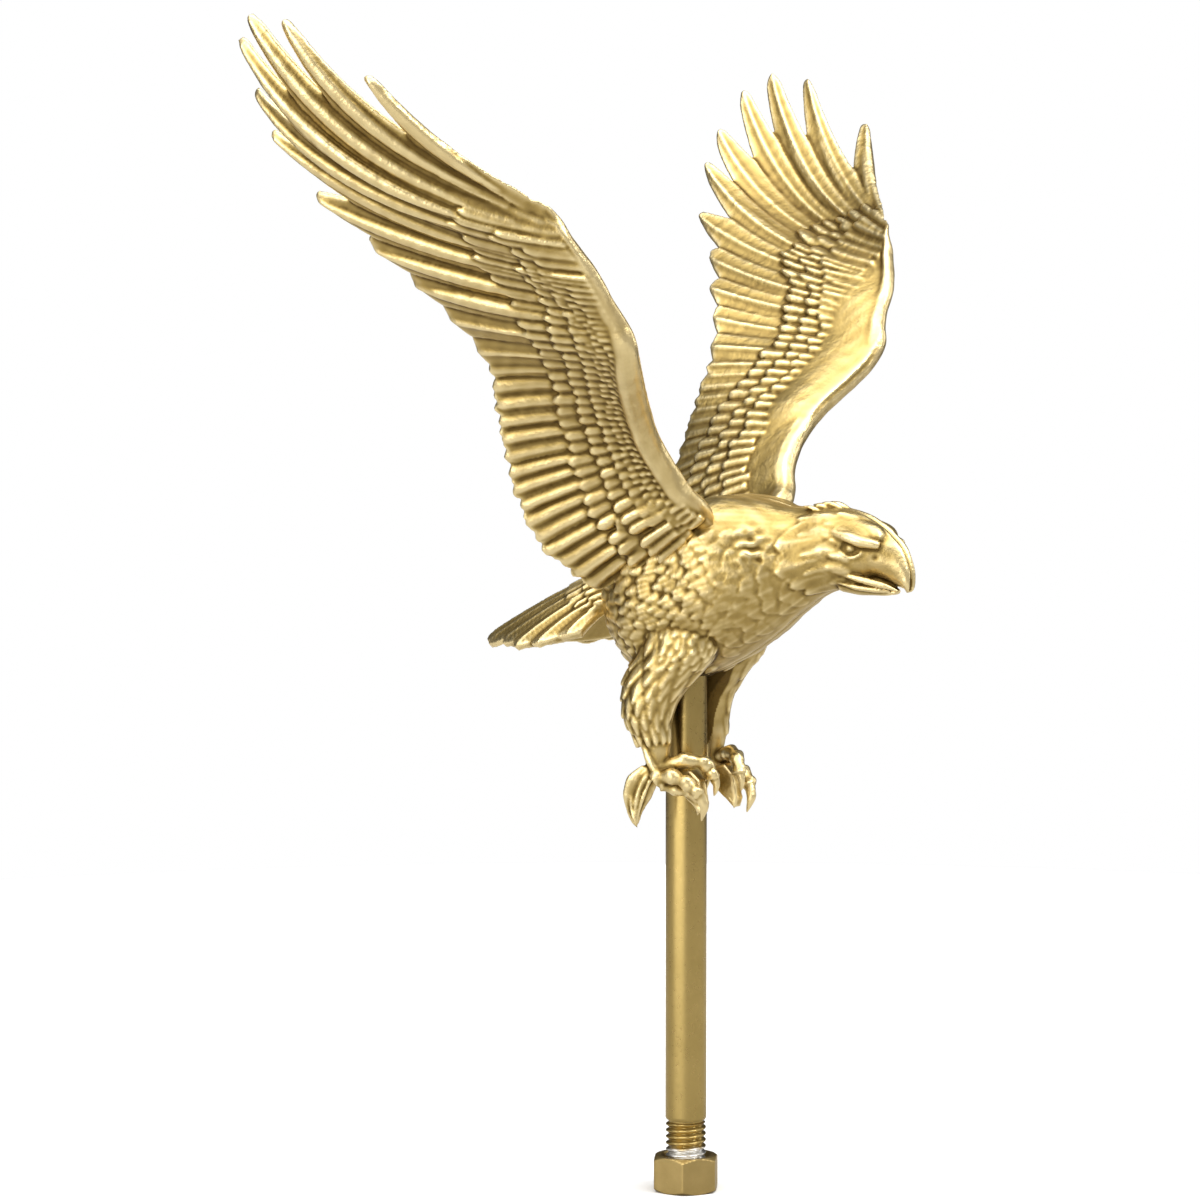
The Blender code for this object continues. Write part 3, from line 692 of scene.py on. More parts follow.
def long_feathers(shells):
    """The long feathers of the outer wing, one on each rib."""
    for rib in range(FIRST_LONG, LAST_RIB + 1):
        last = rib == LAST_RIB
        finger = rib >= 12
        start = 0.03 if last else 0.12
        inner = PARTINGS[rib - FIRST_LONG]
        outer = 0.45 if last else PARTINGS[rib - FIRST_LONG + 1]
        parting = tuple((part - start) / (1 - start) for part in (inner, outer))
        feather(
            shells, long_vane(rib), 0.0, 1.0, (start, 1.0), crown=0.4, edge=0.5, quill=0.7,
            tilt=0.45, parting=parting, tip_half=1.9 if finger else 0.8,
            taper=0.75 if finger else 0.6, spread=1.05, rows=110, peak=0.8,
        )
        if rib >= 10:
            finger_ridge(shells, rib)


def finger_ridge(shells, rib):
    """The raised middle of a long feather on the underside; its flat vane shows either side."""
    u = np.linspace(0.2, 0.985, 8)
    point, up = wing_middle(u, np.full(8, float(rib)))
    beside, _ = wing_middle(u, np.full(8, rib - 0.2))
    across = unit(beside - point).mean(0)
    radii = (0.5, 1.5, 2.2, 2.5, 2.6, 2.4, 2.0, 0.8)
    tube_along(shells, point - up * 0.9, radii, rows=60, count=18, flat=0.8, side=across)


def long_vane(rib):
    """A surface in which v from -1 to 1 crosses the long feather on a rib."""
    last = rib == LAST_RIB
    outward_reach = -0.001 if last else 0.5

    def surface(u, v):
        place = rib - 0.5 * np.maximum(-v, 0) + outward_reach * np.maximum(v, 0)
        point, up = wing_middle(u, place)
        if last:
            # The outermost feather has no neighbour, so its front vane is set by width.
            centre, _ = wing_middle(u, np.full_like(u, rib))
            inside, _ = wing_middle(u, np.full_like(u, rib - 0.3))
            width = 3.0 * np.clip(4 * u, 0.15, 1)[:, None]
            point = np.where(v[:, None] > 0, centre + unit(centre - inside) * width, point)
        return point, up

    return surface


def secondaries(shells, way, pitch, crown):
    """Broad feathers of the inner wing, fanning towards the shoulder."""
    places = rib_places(pitch, 0.6, FIRST_LONG - 0.7)
    for place, step in zip(places, np.gradient(places), strict=True):
        end = RANDOM.uniform(0.985, 1.01)
        swell = root_swell(place, way)
        feather(
            shells, wing_middle, place, step / 2, (0.2, end), way=way, lift=(swell, 0.3 * swell),
            crown=crown * RANDOM.uniform(0.85, 1.15), edge=0.2, quill=0.15, tilt=0.3,
            parting=0.96, tip_half=0.8, taper=0.45, spread=1.02, rows=40,
        )


def root_swell(place, way, share=0.0):
    """How much higher the underside's feathers lie where the root is thick."""
    if way > 0:
        return 0.0
    dome = np.interp(place, (0, 1.4, 2.4, 3.2), (2.3, 2.3, 1.4, 0.0))
    middle = np.exp(-(((share - 0.5) / 0.17) ** 2))
    return float(np.interp(place, (0, 1.3, 2.6), (2.1, 1.5, 0.0)) + dome * middle)


def covert_row(
    shells, way, pitch, limits, ribs, shares, length, lift, size, rounded=0.84, ragged=0.012
):
    """A row of overlapping coverts between two limits; their tips lie at shares on the ribs."""
    places = rib_places(pitch, *limits, share=lambda v: np.interp(v, ribs, shares))
    for place, step in zip(places, np.gradient(places), strict=True):
        place = place + RANDOM.uniform(-0.1, 0.1) * step
        tip = np.interp(place, ribs, shares) + RANDOM.uniform(-1, 1) * ragged
        extra = root_swell(place, way, tip)
        rise = (lift[0] + extra, lift[1] + extra + RANDOM.uniform(-0.1, 0.1))
        feather(
            shells, wing_middle, place, step / 2, (max(tip - length, 0.02), tip), way=way,
            lift=rise, crown=size * RANDOM.uniform(0.8, 1.2), edge=0.3, quill=0.1, tilt=0.25,
            parting=rounded, tip_half=0.3, spread=1.02, rows=18,
        )


def wing_underside(shells):
    """Three rows of coverts, then fine scale-like ones in staggered rows near the arm."""
    ribs = (0.6, 4, 7, 9, 11, 13, 18)
    outer = (0.6, 4, 7, 9, 11, 13, 15, 18)
    rows = (
        (4.7, 15.5, outer, (0.66, 0.62, 0.6, 0.55, 0.46, 0.34, 0.27, 0.2), 0.3, (0.6, 1.5), 0.8),
        (4.1, 14.6, ribs, (0.48, 0.46, 0.45, 0.4, 0.3, 0.21, 0.13), 0.26, (1.3, 2.3), 0.7),
        (3.5, 13.6, ribs, (0.35, 0.34, 0.33, 0.28, 0.21, 0.15, 0.1), 0.2, (1.8, 2.8), 0.55),
    )
    for pitch, end, at, shares, length, lift, size in rows:
        covert_row(shells, -1, pitch, (0.6, end), at, shares, length, lift, size)
    for row in range(3):
        share = 0.27 - 0.06 * row
        level = 2.6 + 0.2 * row
        limits = (0.8 + 0.12 * (row % 2), 12.5)
        shares = (share, share * 0.75)
        lift = (level - 0.5, level + 0.3)
        covert_row(shells, -1, 2.6, limits, (0.8, 12.5), shares, 0.11, lift, 0.5, rounded=0.6)
    alula(shells, -1)


def wing_upper_side(shells):
    """Three ragged rows of coverts with the smooth pad in front of them."""
    ribs = (0.6, 4, 7, 9, 11, 13, 15, 18)
    outer = (*ribs[:-1], 17, 18)
    long_row = (0.84, 0.8, 0.68, 0.56, 0.5, 0.45, 0.34, 0.2, 0.16)
    rows = (
        (4.6, 17.6, outer, long_row, 0.32, (0.5, 1.6), 1.0, 0.022),
        (4.3, 17.0, ribs, (0.66, 0.62, 0.52, 0.44, 0.4, 0.35, 0.26, 0.1), 0.24, (0.9, 2.1), 1.0, 0.025),
        (3.8, 15.6, ribs, (0.5, 0.47, 0.4, 0.35, 0.32, 0.27, 0.2, 0.07), 0.18, (1.3, 2.5), 0.8, 0.025),
    )
    for pitch, end, at, shares, length, lift, size, ragged in rows:
        covert_row(shells, 1, pitch, (0.6, end), at, shares, length, lift, size, ragged=ragged)
    wing_pad(shells)
    alula(shells, 1)


def alula(shells, way):
    """Four short feathers that point outwards from the wrist."""
    for place, end in ((10.4, 0.3), (11.0, 0.28), (11.6, 0.25), (12.2, 0.22)):
        feather(
            shells, wing_middle, place, 0.3, (0.06, end), way=way, lift=(1.6, 2.2), crown=0.7,
            edge=0.2, quill=0.2, tilt=0.2, parting=0.5, sink=1.4,
        )


def wing_pad(shells):
    """Smooth skin between arm and coverts on the upper side, falling off towards both ends."""
    v = np.linspace(0.5, 15, 60)
    swell = np.interp(v, (0.5, 3, 5.0, 5.8, 7, 9, 12, 15), (1.2, 1.5, 1.7, 3.3, 3.6, 3.0, 2.0, 0.6))
    layers = []
    for share in np.linspace(0.02, 0.36, 14):
        point, up = wing_middle(np.full(60, share), v)
        arch = 0.45 + 0.55 * math.sin(math.pi * min(1.0, share / 0.36) ** 0.8)
        layers.append((point + up * (0.6 + swell * arch)[:, None], point))
    slab(shells, layers)


# Oval thickening at the root, under the coverts: x, centre (y, z), half length, half height.
ROOT_BOSS = (
    (18, -4, 201.2, 15, 4.6), (23, -4, 202.4, 15, 4.6), (27.5, -4, 204.4, 13.5, 3.7),
    (31.5, -3.5, 208, 11, 2.2), (35, -3, 212, 8, 0.8),
)


def wing_root(shells):
    row = spline(ROOT_BOSS, np.linspace(0, len(ROOT_BOSS) - 1, 24))
    along = unit(np.array([0.0, 1.0, -0.5]))
    up = unit(np.array([0.0, 0.5, 1.0]))
    angle = full_turn(28)
    ring = along * (row[:, 3][:, None] * np.cos(angle))[..., None]
    ring = ring + up * (row[:, 4][:, None] * np.sin(angle))[..., None]
    shells.tube(row[:, None, :3] + ring)


def build_wing():
    """The left wing, flat where it meets the body."""
    shells = Shells()
    wing_skin(shells)
    wing_arm(shells)
    wing_root(shells)
    long_feathers(shells)
    secondaries(shells, -1, 6.0, 1.5)
    secondaries(shells, 1, 4.2, 1.0)
    wing_underside(shells)
    wing_upper_side(shells)
    wing = united(shells, "wing", WING_VOXEL, 4)
    make_uneven(wing, 0.035, 6.0)
    carve(wing, block((-30, -60, 150), (WING_SEAT_X, 60, 300)))
    return wing


# ---- body ----

# From rump to bill tip: top (y, z), bottom (y, z), half width, squareness of the upper side.
BODY = (
    (30, 191, 26, 174, 8, 2.0), (22, 199, 17, 164, 16.5, 2.6), (9, 208, 8, 158, 23.5, 3.4),
    (-6, 213.5, -6, 159.5, 25, 3.4), (-18, 216, -20, 165.5, 25.5, 3.2), (-29, 215, -31, 172.5, 21, 2.8),
    (-37, 213, -41, 180.5, 15.5, 2.3), (-44, 212.5, -49, 186, 12.3, 2.1),
    (-51, 213, -56.5, 188, 11.4, 2.1), (-59, 212, -62, 188, 9.8, 2.1),
    (-66, 209.3, -66.5, 191.3, 7.8, 2.0), (-72.3, 205.0, -70.5, 190.3, 5.4, 2.0),
    (-76.2, 200.5, -73.5, 189.3, 4.0, 2.0), (-78.3, 194, -75.8, 188.3, 3.0, 2.0),
    (-78.4, 189.5, -76.8, 187, 1.9, 2.0), (-77.6, 186.4, -77.2, 186.2, 0.5, 2.0),
)
LAST_STATION = len(BODY) - 1


def trunk_surface(u, v):
    """u counts stations from the rump, v is the angle from the back (0) to the belly (pi)."""
    row = spline(BODY, np.clip(u, 0, LAST_STATION))
    top = np.stack([np.zeros(len(u)), row[:, 0], row[:, 1]], -1)
    low = np.stack([np.zeros(len(u)), row[:, 2], row[:, 3]], -1)
    reach = np.cos(v)
    power = np.where(reach > 0, row[:, 5], 2.0)
    width = row[:, 4] * (1 - np.minimum(np.abs(reach), 1) ** power) ** (1 / power)
    point = (top + low) / 2 + (top - low) / 2 * reach[:, None]
    point[:, 0] = width * np.sign(np.sin(v) + 1e-9)
    return point


def trunk(u, v):
    """The trunk's points with outward directions."""
    point = trunk_surface(u, v)
    out = -outward(trunk_surface, u, v, 0.05, 0.03)
    back = trunk_surface(u, np.zeros_like(v))
    belly = trunk_surface(u, np.full_like(v, np.pi))
    flip = np.sign(((point - (back + belly) / 2) * out).sum(1))
    return point, out * np.where(flip == 0, 1, flip)[:, None]


def body_feathers(
    shells, stations, angles, pitch, length, lift, crown, jitter=0.1, parting=0.5, tip=0.0,
    edge=0.1, fade=0.0,
):
    """Rows of leaf-shaped feathers on the trunk, pointing to the tail.

    Over the last fade stations towards the head they grow lower and lower.
    """
    u, high_u = stations
    middle = np.array([(angles[0] + angles[1]) / 2])
    arc = np.linspace(*angles, 60)
    row = 0
    while u < high_u:
        here = trunk_surface(np.array([u]), middle)[0]
        ahead = trunk_surface(np.array([u + 0.1]), middle)[0]
        per_mm = 0.1 / np.linalg.norm(ahead - here)
        measure = line_measure(trunk_surface(np.full(60, u), arc))
        count = max(int(measure[-1] / pitch), 1)
        for index in range(count):
            at = (index + 0.5 * (row % 2) + 0.5) * measure[-1] / count
            half = pitch / 2 * RANDOM.uniform(0.9, 1.15)
            left, v, right = np.interp((at - half, at, at + half), measure, arc)
            narrow, broad = sorted((v - left, right - v))
            if narrow < 0.4 * broad:
                continue
            shift = RANDOM.uniform(-jitter, jitter) * length
            strength = float(np.clip((high_u - u) / fade, 0.15, 1)) if fade else 1.0
            span = (u + (length * 0.6 + shift) * per_mm, u - (length * 0.4 - shift) * per_mm)
            feather(
                shells, trunk, v, (left, right), span, way=1,
                lift=(lift[0], lift[1] * strength * RANDOM.uniform(0.85, 1.15)),
                crown=crown * strength * RANDOM.uniform(0.8, 1.2), edge=edge, quill=0.05,
                parting=parting, tip_half=tip, spread=1.0, rows=14, sink=crown + 0.5,
            )
        u += length * 0.55 * per_mm
        row += 1


EYE = np.array([8.1, -61.4, 201.0])
# Lower jaw from throat to tip: y, z, half width.
JAW = ((-56, 189.6, 6.0), (-62, 188.4, 5.4), (-67.5, 187.7, 4.0), (-72, 187.3, 2.6), (-74.6, 187.2, 0.6))


def head(shells):
    """Brow, eye, lower lid, cheek, bill edge, lower jaw, tongue and crown tufts."""
    brow = (
        (6.0, -51, 205.6), (8.5, -56, 205.6), (9.4, -60.5, 204.6), (9.1, -65, 203.2),
        (7.2, -70.5, 201.8),
    )
    tube_along(shells, brow, (0.4, 1.8, 2.6, 2.7, 1.5), flat=0.8)
    blob(shells, (4.0, -62.5, 205.4), (4.7, 8.6, 3.9), tilt_deg=12)
    blob(shells, EYE, (1.9, 2.2, 1.8))
    lid = ((8.0, -57.0, 200.6), (8.9, -59.2, 198.6), (8.9, -62.6, 198.3), (8.0, -65.4, 199.6))
    tube_along(shells, lid, (0.2, 0.7, 0.7, 0.2))
    blob(shells, (6.6, -54.5, 197), (4.4, 6.5, 5.0), tilt_deg=10)
    bill_edge = (
        (8.2, -57, 193.2), (7.8, -61.5, 192.2), (6.8, -66, 191.1), (5.2, -71, 189.7),
        (3.4, -75.2, 188.0),
    )
    tube_along(shells, bill_edge, (0.2, 0.9, 1.1, 0.9, 0.3))
    # Lower jaw with its lip, and the tongue that fills the space under the bill.
    jaw = [(0, y, z) for y, z, _ in JAW]
    tube_along(shells, jaw, [half for _, _, half in JAW], flat=0.42)
    lip = [(half + 0.9 - 0.1 * (-56 - y) / 4, y, z + 0.7) for y, z, half in JAW[:-1]]
    tube_along(shells, lip, (0.3, 0.9, 0.9, 0.3))
    tongue = [(0, y, z + 2.2) for y, z, _ in JAW]
    tube_along(shells, tongue, [max(half - 0.9, 0.4) for _, _, half in JAW], flat=0.9)
    for x, y, z in ((3.0, -49, 213.2), (1.8, -52, 213.8), (5.0, -46.5, 212.7)):
        tuft = ((x, y - 4, z - 1.4), (x, y, z - 0.2), (x + 0.3, y + 3.2, z + 0.2))
        tube_along(shells, tuft, (0.2, 1.2, 0.3), flat=0.6, rows=12, count=10)


def neck_hackles(shells):
    """Soft pointed neck feathers, and the ragged collar where they end over the chest."""
    rows = ((8.8, 4.2, 8.0, 0.15), (8.1, 4.8, 10.0, 0.2), (7.4, 5.4, 11.0, 0.3))
    for index, (station, pitch, length, rise) in enumerate(rows):
        body_feathers(
            shells, (station, station + 0.05), (0.3 + 0.1 * index, 2.75), pitch, length,
            (0.0, rise), 0.25, jitter=0.25, parting=0.3, tip=0.2,
        )
    for end, middle, half in ((6.1, 1.3, 0.42), (6.0, 1.8, 0.36), (6.3, 2.2, 0.3), (6.6, 2.55, 0.26)):
        feather(
            shells, trunk, middle, half, (8.2, end), way=1, lift=(0.0, 0.35), crown=0.2,
            edge=0.15, quill=0.0, parting=0.55, rows=30, sink=0.6,
        )


def body_plumage(shells):
    # Back behind the shoulders, and rump.
    body_feathers(shells, (0.8, 3.4), (0.15, 1.0), 6.5, 9.5, (0.0, 0.5), 0.4)
    # Chest: broad soft feathers in low relief.
    chest = {"jitter": 0.3, "edge": 0.05}
    body_feathers(shells, (4.2, 7.4), (1.2, 2.9), 8.0, 6.0, (0.0, 0.22), 0.06, **chest)
    # Flank: columns of small bead-like feathers.
    flank = {"jitter": 0.4, "fade": 2.6}
    body_feathers(shells, (1.2, 5.2), (0.95, 2.35), 3.2, 6.0, (0.0, 0.4), 0.2, **flank)
    # Belly.
    body_feathers(shells, (1.2, 3.4), (2.4, 3.0), 5.0, 6.5, (0.0, 0.5), 0.4)


def near(points, centre, radius):
    """1 at a centre, falling smoothly to nothing past about twice the radius."""
    return np.exp(-((np.linalg.norm(points - np.asarray(centre, float), axis=1) / radius) ** 2))


def model_face(obj):
    """Blended brow, eye socket, nostril, and ruffled patches on shoulder and crown."""
    mesh = obj.data
    points = read_points(mesh)
    side = points.copy()
    side[:, 0] = np.abs(side[:, 0])
    # The brow runs smoothly up into the crown and stays crisp only over the eye.
    above_brow = near(side, (7.8, -62.0, 207.0), 4.4) + near(side, (6.5, -52.5, 207.0), 3.5)
    above_brow += near(side, (8.7, -58.5, 206.8), 3.0) + near(side, (8.4, -65.5, 205.2), 2.6)
    blended = smoothed(mesh, 90) - points
    set_points(mesh, points + blended * np.minimum(above_brow, 1.0)[:, None])
    away = np.linalg.norm(side - EYE, axis=1)
    depth = -0.45 * np.exp(-(((away - 2.5) / 0.8) ** 2))
    depth -= 0.3 * near(side, (6.6, -68.8, 198.0), 1.0)
    ruffle = waves(side, 3.2, 8)
    depth += 0.42 * ruffle * near(side, (20, -33.6, 201.5), 4.8)
    depth += 0.12 * ruffle * near(side, (4, -52, 213.5), 4.5)
    push(obj, depth)


# Thigh and shank: z, centre y, half length, centre x, half width.
THIGH = (
    (182, -8, 10, 12.5, 7.8), (175, -7.5, 12, 14.3, 8.7), (167, -5.6, 12.2, 14.7, 9),
    (160, -0.7, 11, 15.6, 8.5), (153.5, 2.0, 8.6, 16.8, 7.4), (147, 2.6, 7.0, 17.2, 6),
    (141, 1.0, 5.2, 17, 4.4), (135, 0.2, 3.4, 16.8, 3.4), (130, -0.5, 3.4, 16.4, 3.4),
)


def thigh_surface(u, v):
    """u counts rows down the leg; v goes round it, 0 in front and pi / 2 outside."""
    row = spline(THIGH, np.clip(u, 0, len(THIGH) - 1))
    x = row[:, 3] + row[:, 4] * np.sin(v)
    y = row[:, 1] - row[:, 2] * np.cos(v)
    return np.stack([x, y, row[:, 0]], -1)


def thigh(u, v):
    return thigh_surface(u, v), outward(thigh_surface, u, v, 0.05, 0.03)


def leg(shells):
    """Thigh and shank with the feathers that cover them."""
    core(shells, thigh_surface, len(THIGH) - 1, 50, 40)
    # Small feathers where the flank runs on over the thigh.
    for row in range(5):
        u = 0.75 + 0.3 * row
        for index in range(9):
            v = 0.2 + 0.3 * (index + 0.5 * (row % 2)) + RANDOM.uniform(-0.05, 0.05)
            feather(
                shells, thigh, v, 0.17, (u, u + RANDOM.uniform(0.5, 0.7)), way=1,
                lift=(0.0, 0.6), crown=0.22, edge=0.1, quill=0.05, parting=0.45, rows=14,
                sink=0.7,
            )
    # Broad soft leaves in front, and ribbed leggings that stand off the rear edge.
    for row in range(7):
        u = 0.5 + 0.72 * row
        for index in range(6):
            v = 0.1 + 0.5 * (index + 0.5 * (row % 2)) + RANDOM.uniform(-0.06, 0.06)
            rear = min(max((v - 1.3) / 1.2, 0.0), 1.0)
            feather(
                shells, thigh, v, 0.3, (u, u + 1.45 * RANDOM.uniform(0.92, 1.08)), way=1,
                lift=(0.0, 0.35 + 1.1 * rear), crown=0.3 + 0.3 * rear, edge=0.1, quill=0.05,
                barbs=0.13 * rear, parting=0.4, taper=0.55, spread=1.0, rows=26,
                sink=0.7 + 0.4 * rear,
            )


# The toes in front: the toe's path, thickness and knuckles, then its talon's path and thickness.
FRONT_TOES = (
    # Inner toe, which wraps round the rod.
    (
        ((17, -0.5, 132.4), (14.6, -6, 134.6), (11.6, -10.6, 134.6), (8.8, -13.2, 132.6),
         (7.9, -14.2, 129.4)), 2.7, 3,
        ((8.0, -13.8, 130.4), (7.7, -15.2, 127.4), (8.4, -14.6, 123.8)), 1.7,
    ),
    # Outer toe.
    (
        ((18.4, -0.4, 129.6), (18.4, -6, 130.2), (17, -10.8, 128), (15.6, -13.6, 124.8)), 2.8, 3,
        ((15.8, -13.2, 125.6), (14.6, -14.8, 121.4), (14.0, -13.4, 116.4)), 2.0,
    ),
    # Lower toe under the first.
    (
        ((17.4, -1.5, 127.4), (15.4, -5.4, 126), (13.2, -8.6, 125.2)), 2.3, 2,
        ((13.4, -8.2, 125.4), (11.8, -10.6, 122.6), (11.2, -10.6, 118.0)), 1.7,
    ),
)


def foot(shells):
    # Bare shank with its tendon.
    shank = ((17.2, 2.4, 143), (17.4, 1.6, 137), (17.2, 0, 131.5))
    tube_along(shells, shank, (2.6, 2.6, 3.2), rows=14, count=14)
    tendon = ((19.2, 4.6, 146), (20.0, 3.2, 140), (19.6, 0.2, 133), (18.6, -2.6, 127.5))
    tube_along(shells, tendon, (0.9, 1.3, 1.5, 1.2), rows=16, count=12)
    for path, radius, knuckles, talon, thick in FRONT_TOES:
        toe(shells, path, radius, knuckles)
        tube_along(shells, talon, (thick, thick * 0.75, 0.25), rows=14, count=12)
    # Solid web between the toes, flat on its inner side.
    outline = ((-3, 130.5), (-8.5, 132), (-11.5, 129), (-13.2, 121.5), (-12.2, 118.5), (-3.5, 126))
    shells.tube(np.array([[(x, y, z) for y, z in outline] for x in (8.2, 12.5)], float))
    rear_toe(shells)


def toe(shells, path, radius, knuckles):
    """A tapering toe with round knuckles on its upper side."""
    rows = 44
    last = len(path) - 1
    share = np.linspace(0, 1, rows)
    waist = 0.9 + 0.14 * np.cos(share * 2 * np.pi * knuckles)
    curve = spline(path, np.linspace(0, last, rows))
    thick = radius * waist * (1.08 - 0.2 * share)
    tube_along(shells, curve, thick, rows=rows, count=14, flat=0.9)
    for index in range(knuckles + 1):
        at = (index + 0.1) / (knuckles + 0.35)
        x, y, z = spline(path, [at * last])[0]
        size = radius * (0.78 - 0.1 * at)
        centre = (x + 0.32 * radius, y - 0.1, z + 0.34 * radius)
        blob(shells, centre, (size, size, size * 0.9), rows=10, count=14)


def rear_toe(shells):
    """A broad leaf-like pad that narrows to its talon, creased down the middle."""
    path = (
        (18.0, 2.2, 132), (18.3, 5.0, 128), (18.3, 6.8, 123.5), (18.0, 7.7, 118.5),
        (17.8, 7.3, 113.9),
    )
    radii = (2.8, 5.0, 4.5, 2.5, 0.4)
    tube_along(shells, path, radii, flat=0.38, side=(-0.52, -0.85, 0.3), rows=26, count=18)
    for shift, radius in ((-1.0, 0.55), (0.0, 0.85), (1.0, 0.55)):
        crease = [
            (x + 1.5 - 0.5 * shift, y - 1.0 - 1.9 * shift * wide, z - 0.4 * shift)
            for (x, y, z), wide in zip(path, (0.6, 1.0, 0.9, 0.5, 0.0), strict=True)
        ]
        tube_along(shells, crease, (radius, radius, radius, radius * 0.7, 0.2), rows=20, count=10)


def leg_hollow():
    """The space inside the thigh, open towards the spindle."""
    # z, centre y, half length, and how far out the space reaches.
    stations = (
        (176, -6, 8.5, 7.8), (166, -5, 8.5, 10.3), (158, -0.5, 8, 11.3), (152, 1.6, 6, 11.8),
        (146, 1.8, 4.2, 12.2), (140, 0.6, 2.2, 12.2), (134, -0.2, 1.4, 12.0),
    )
    rings = []
    for z, y, half, reach in stations:
        arc = [
            (8 + (reach - 8) * math.sin(angle), y - half * math.cos(angle), z)
            for angle in np.linspace(0, np.pi, 13)
        ]
        rings.append([(1.0, y - half, z), *arc, (1.0, y + half, z)])
    return np.array(rings, float)


def inner_painted_shade(points):
    """Painted shade: 1 inside the hollow legs, close round the rod and in the mouth, where these recesses
    are painted dark.
    """
    x = np.abs(points[:, 0])
    y = points[:, 1]
    z = points[:, 2]
    beside = np.clip((ROD_RADIUS + 1.6 - np.hypot(x, y)) / 1.0, 0, 1)
    levels = (130, 140, 146, 152, 158, 166, 176)
    middle = np.interp(z, levels, (-0.2, 0.6, 1.8, 1.6, -0.5, -5, -6))
    half = np.interp(z, levels, (1.0, 2.2, 4.2, 6, 8, 8.5, 8.5))
    inside = np.clip((half + 0.3 - np.abs(y - middle)) / 0.5, 0, 1) * (x < 13.2) * (x > 0.6)
    legs = np.maximum(beside, inside) * (z > 128) * (z < 178)
    ahead, level, width = np.array(JAW[::-1]).T
    above = z - np.interp(y, ahead, level)
    mouth = (y < -57) * (x < np.interp(y, ahead, width)) * (above > 0.9) * (above < 4.5)
    return np.maximum(legs, 0.9 * mouth)


def soften_seam(obj):
    """Rounds each half towards the joint on the head, where the two castings meet in a groove."""
    points = read_points(obj.data)
    beside_seam = np.exp(-((points[:, 0] / 1.3) ** 2))
    ahead = np.clip((-points[:, 1] - 50) / 18, 0, 1)
    depth = 0.35 + 1.3 * ahead
    centre = np.zeros_like(points)
    centre[:, 1] = np.clip(points[:, 1], -66, 20)
    centre[:, 2] = 197.0
    inward = unit(centre - points)
    top = (points[:, 1] < -8) | (points[:, 2] > 195)
    set_points(obj.data, points + inward * (beside_seam * depth * top)[:, None])


def build_half():
    """The left half of body, head and leg, with room for the hollow leg, rod and tail."""
    shells = Shells()
    core(shells, trunk_surface, LAST_STATION, 90, 56)
    for add_part in (head, neck_hackles, body_plumage, leg, foot):
        add_part(shells)
    half = united(shells, "half", BODY_VOXEL, 2)
    model_face(half)
    make_uneven(half, 0.07, 5.0)
    soften_seam(half)
    carve(half, block((-60, -120, 90), (SEAM, 80, 260)))
    carve(half, leg_hollow())
    angle = full_turn(48)
    bore = [level_ring(ROD_RADIUS + 0.3, angle, height) for height in (100, ROD_LENGTH + 0.3)]
    carve(half, np.stack(bore))
    carve(half, block((-10, 21.0, 150), (40, 60, 194)))
    return half


def cut_screw_recesses(half):
    """Round recesses on the left side for the heads of the screws that hold the halves."""
    for node in ("halves_screw_front", "halves_screw_rear"):
        low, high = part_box(node)
        middle = (np.array([0.0, low.y + high.y, low.z + high.z]) / 2 - BASE) / MM
        radius = (high.z - low.z) / 2 / MM + 0.35
        seat = (high.x - BASE[0]) / MM - 2.8
        angle = full_turn(40)
        y = middle[1] + radius * np.cos(angle)
        z = middle[2] + radius * np.sin(angle)
        carve(half, np.stack([np.stack([0 * angle + x, y, z], -1) for x in (seat, 40.0)]))


# ---- tail ----

# Half of the fan from its edge to its ridge, at the root and at the tips.
TAIL_ROOT = ((11, 21.5, 179), (10, 21.5, 183), (8, 21.5, 187), (4.5, 21.5, 190), (0, 21.5, 192))
TAIL_TIP = ((21, 26, 171.5), (22, 38, 168.5), (20, 50, 166.5), (9.5, 63, 166.5), (0, 71, 167.5))


def tail_surface(u, v):
    """v from 0 at the left edge through 4 on the ridge to 8 at the right edge."""
    side = np.where(v > 4, -1.0, 1.0)
    folded = 4 - np.abs(v - 4)
    root = spline(TAIL_ROOT, folded)
    tip = spline(TAIL_TIP, folded)
    point = root + (tip - root) * u[:, None]
    point[:, 2] += 1.5 * 4 * u * (1 - u)
    point[:, 0] *= side
    return point


def tail(u, v):
    out = outward(tail_surface, u, v, 0.02, 0.05)
    return tail_surface(u, v), out * np.where(out[:, 2] < 0, -1, 1)[:, None]


def build_tail():
    """The tail fan: a sheet with long feathers and two rows of short ones over their roots."""
    shells = Shells()
    v = np.linspace(0, 8, 33)
    layers = []
    for share in np.linspace(0, 0.94, 12):
        point, up = tail(np.full(33, share), v)
        layers.append((point + up * 0.8, point - up * 1.5))
    slab(shells, layers)
    for place in (0.35, 1.1, 1.85, 2.6, 3.35, 4.65, 5.4, 6.15, 6.9, 7.65, 4.0):
        feather(
            shells, tail, place, 0.42, (0.02, RANDOM.uniform(0.97, 1.03)), way=1,
            lift=(0.5, 0.9), crown=1.0, edge=0.6, quill=0.5, parting=0.9, tip_half=1.6,
            taper=0.6, barbs=0.08, rows=50,
        )
    for row, end in enumerate((0.42, 0.26)):
        for place in np.arange(0.5 + 0.25 * row, 7.7, 0.5):
            feather(
                shells, tail, place, 0.25, (0.0, end), way=1, lift=(1.4 + row, 1.9 + row),
                edge=0.4, quill=0.2,
            )
    piece = united(shells, "tail", BODY_VOXEL, 2)
    carve(piece, block((-40, -20, 150), (40, 21.0, 220)))
    return piece


# ---- spindle and nut ----

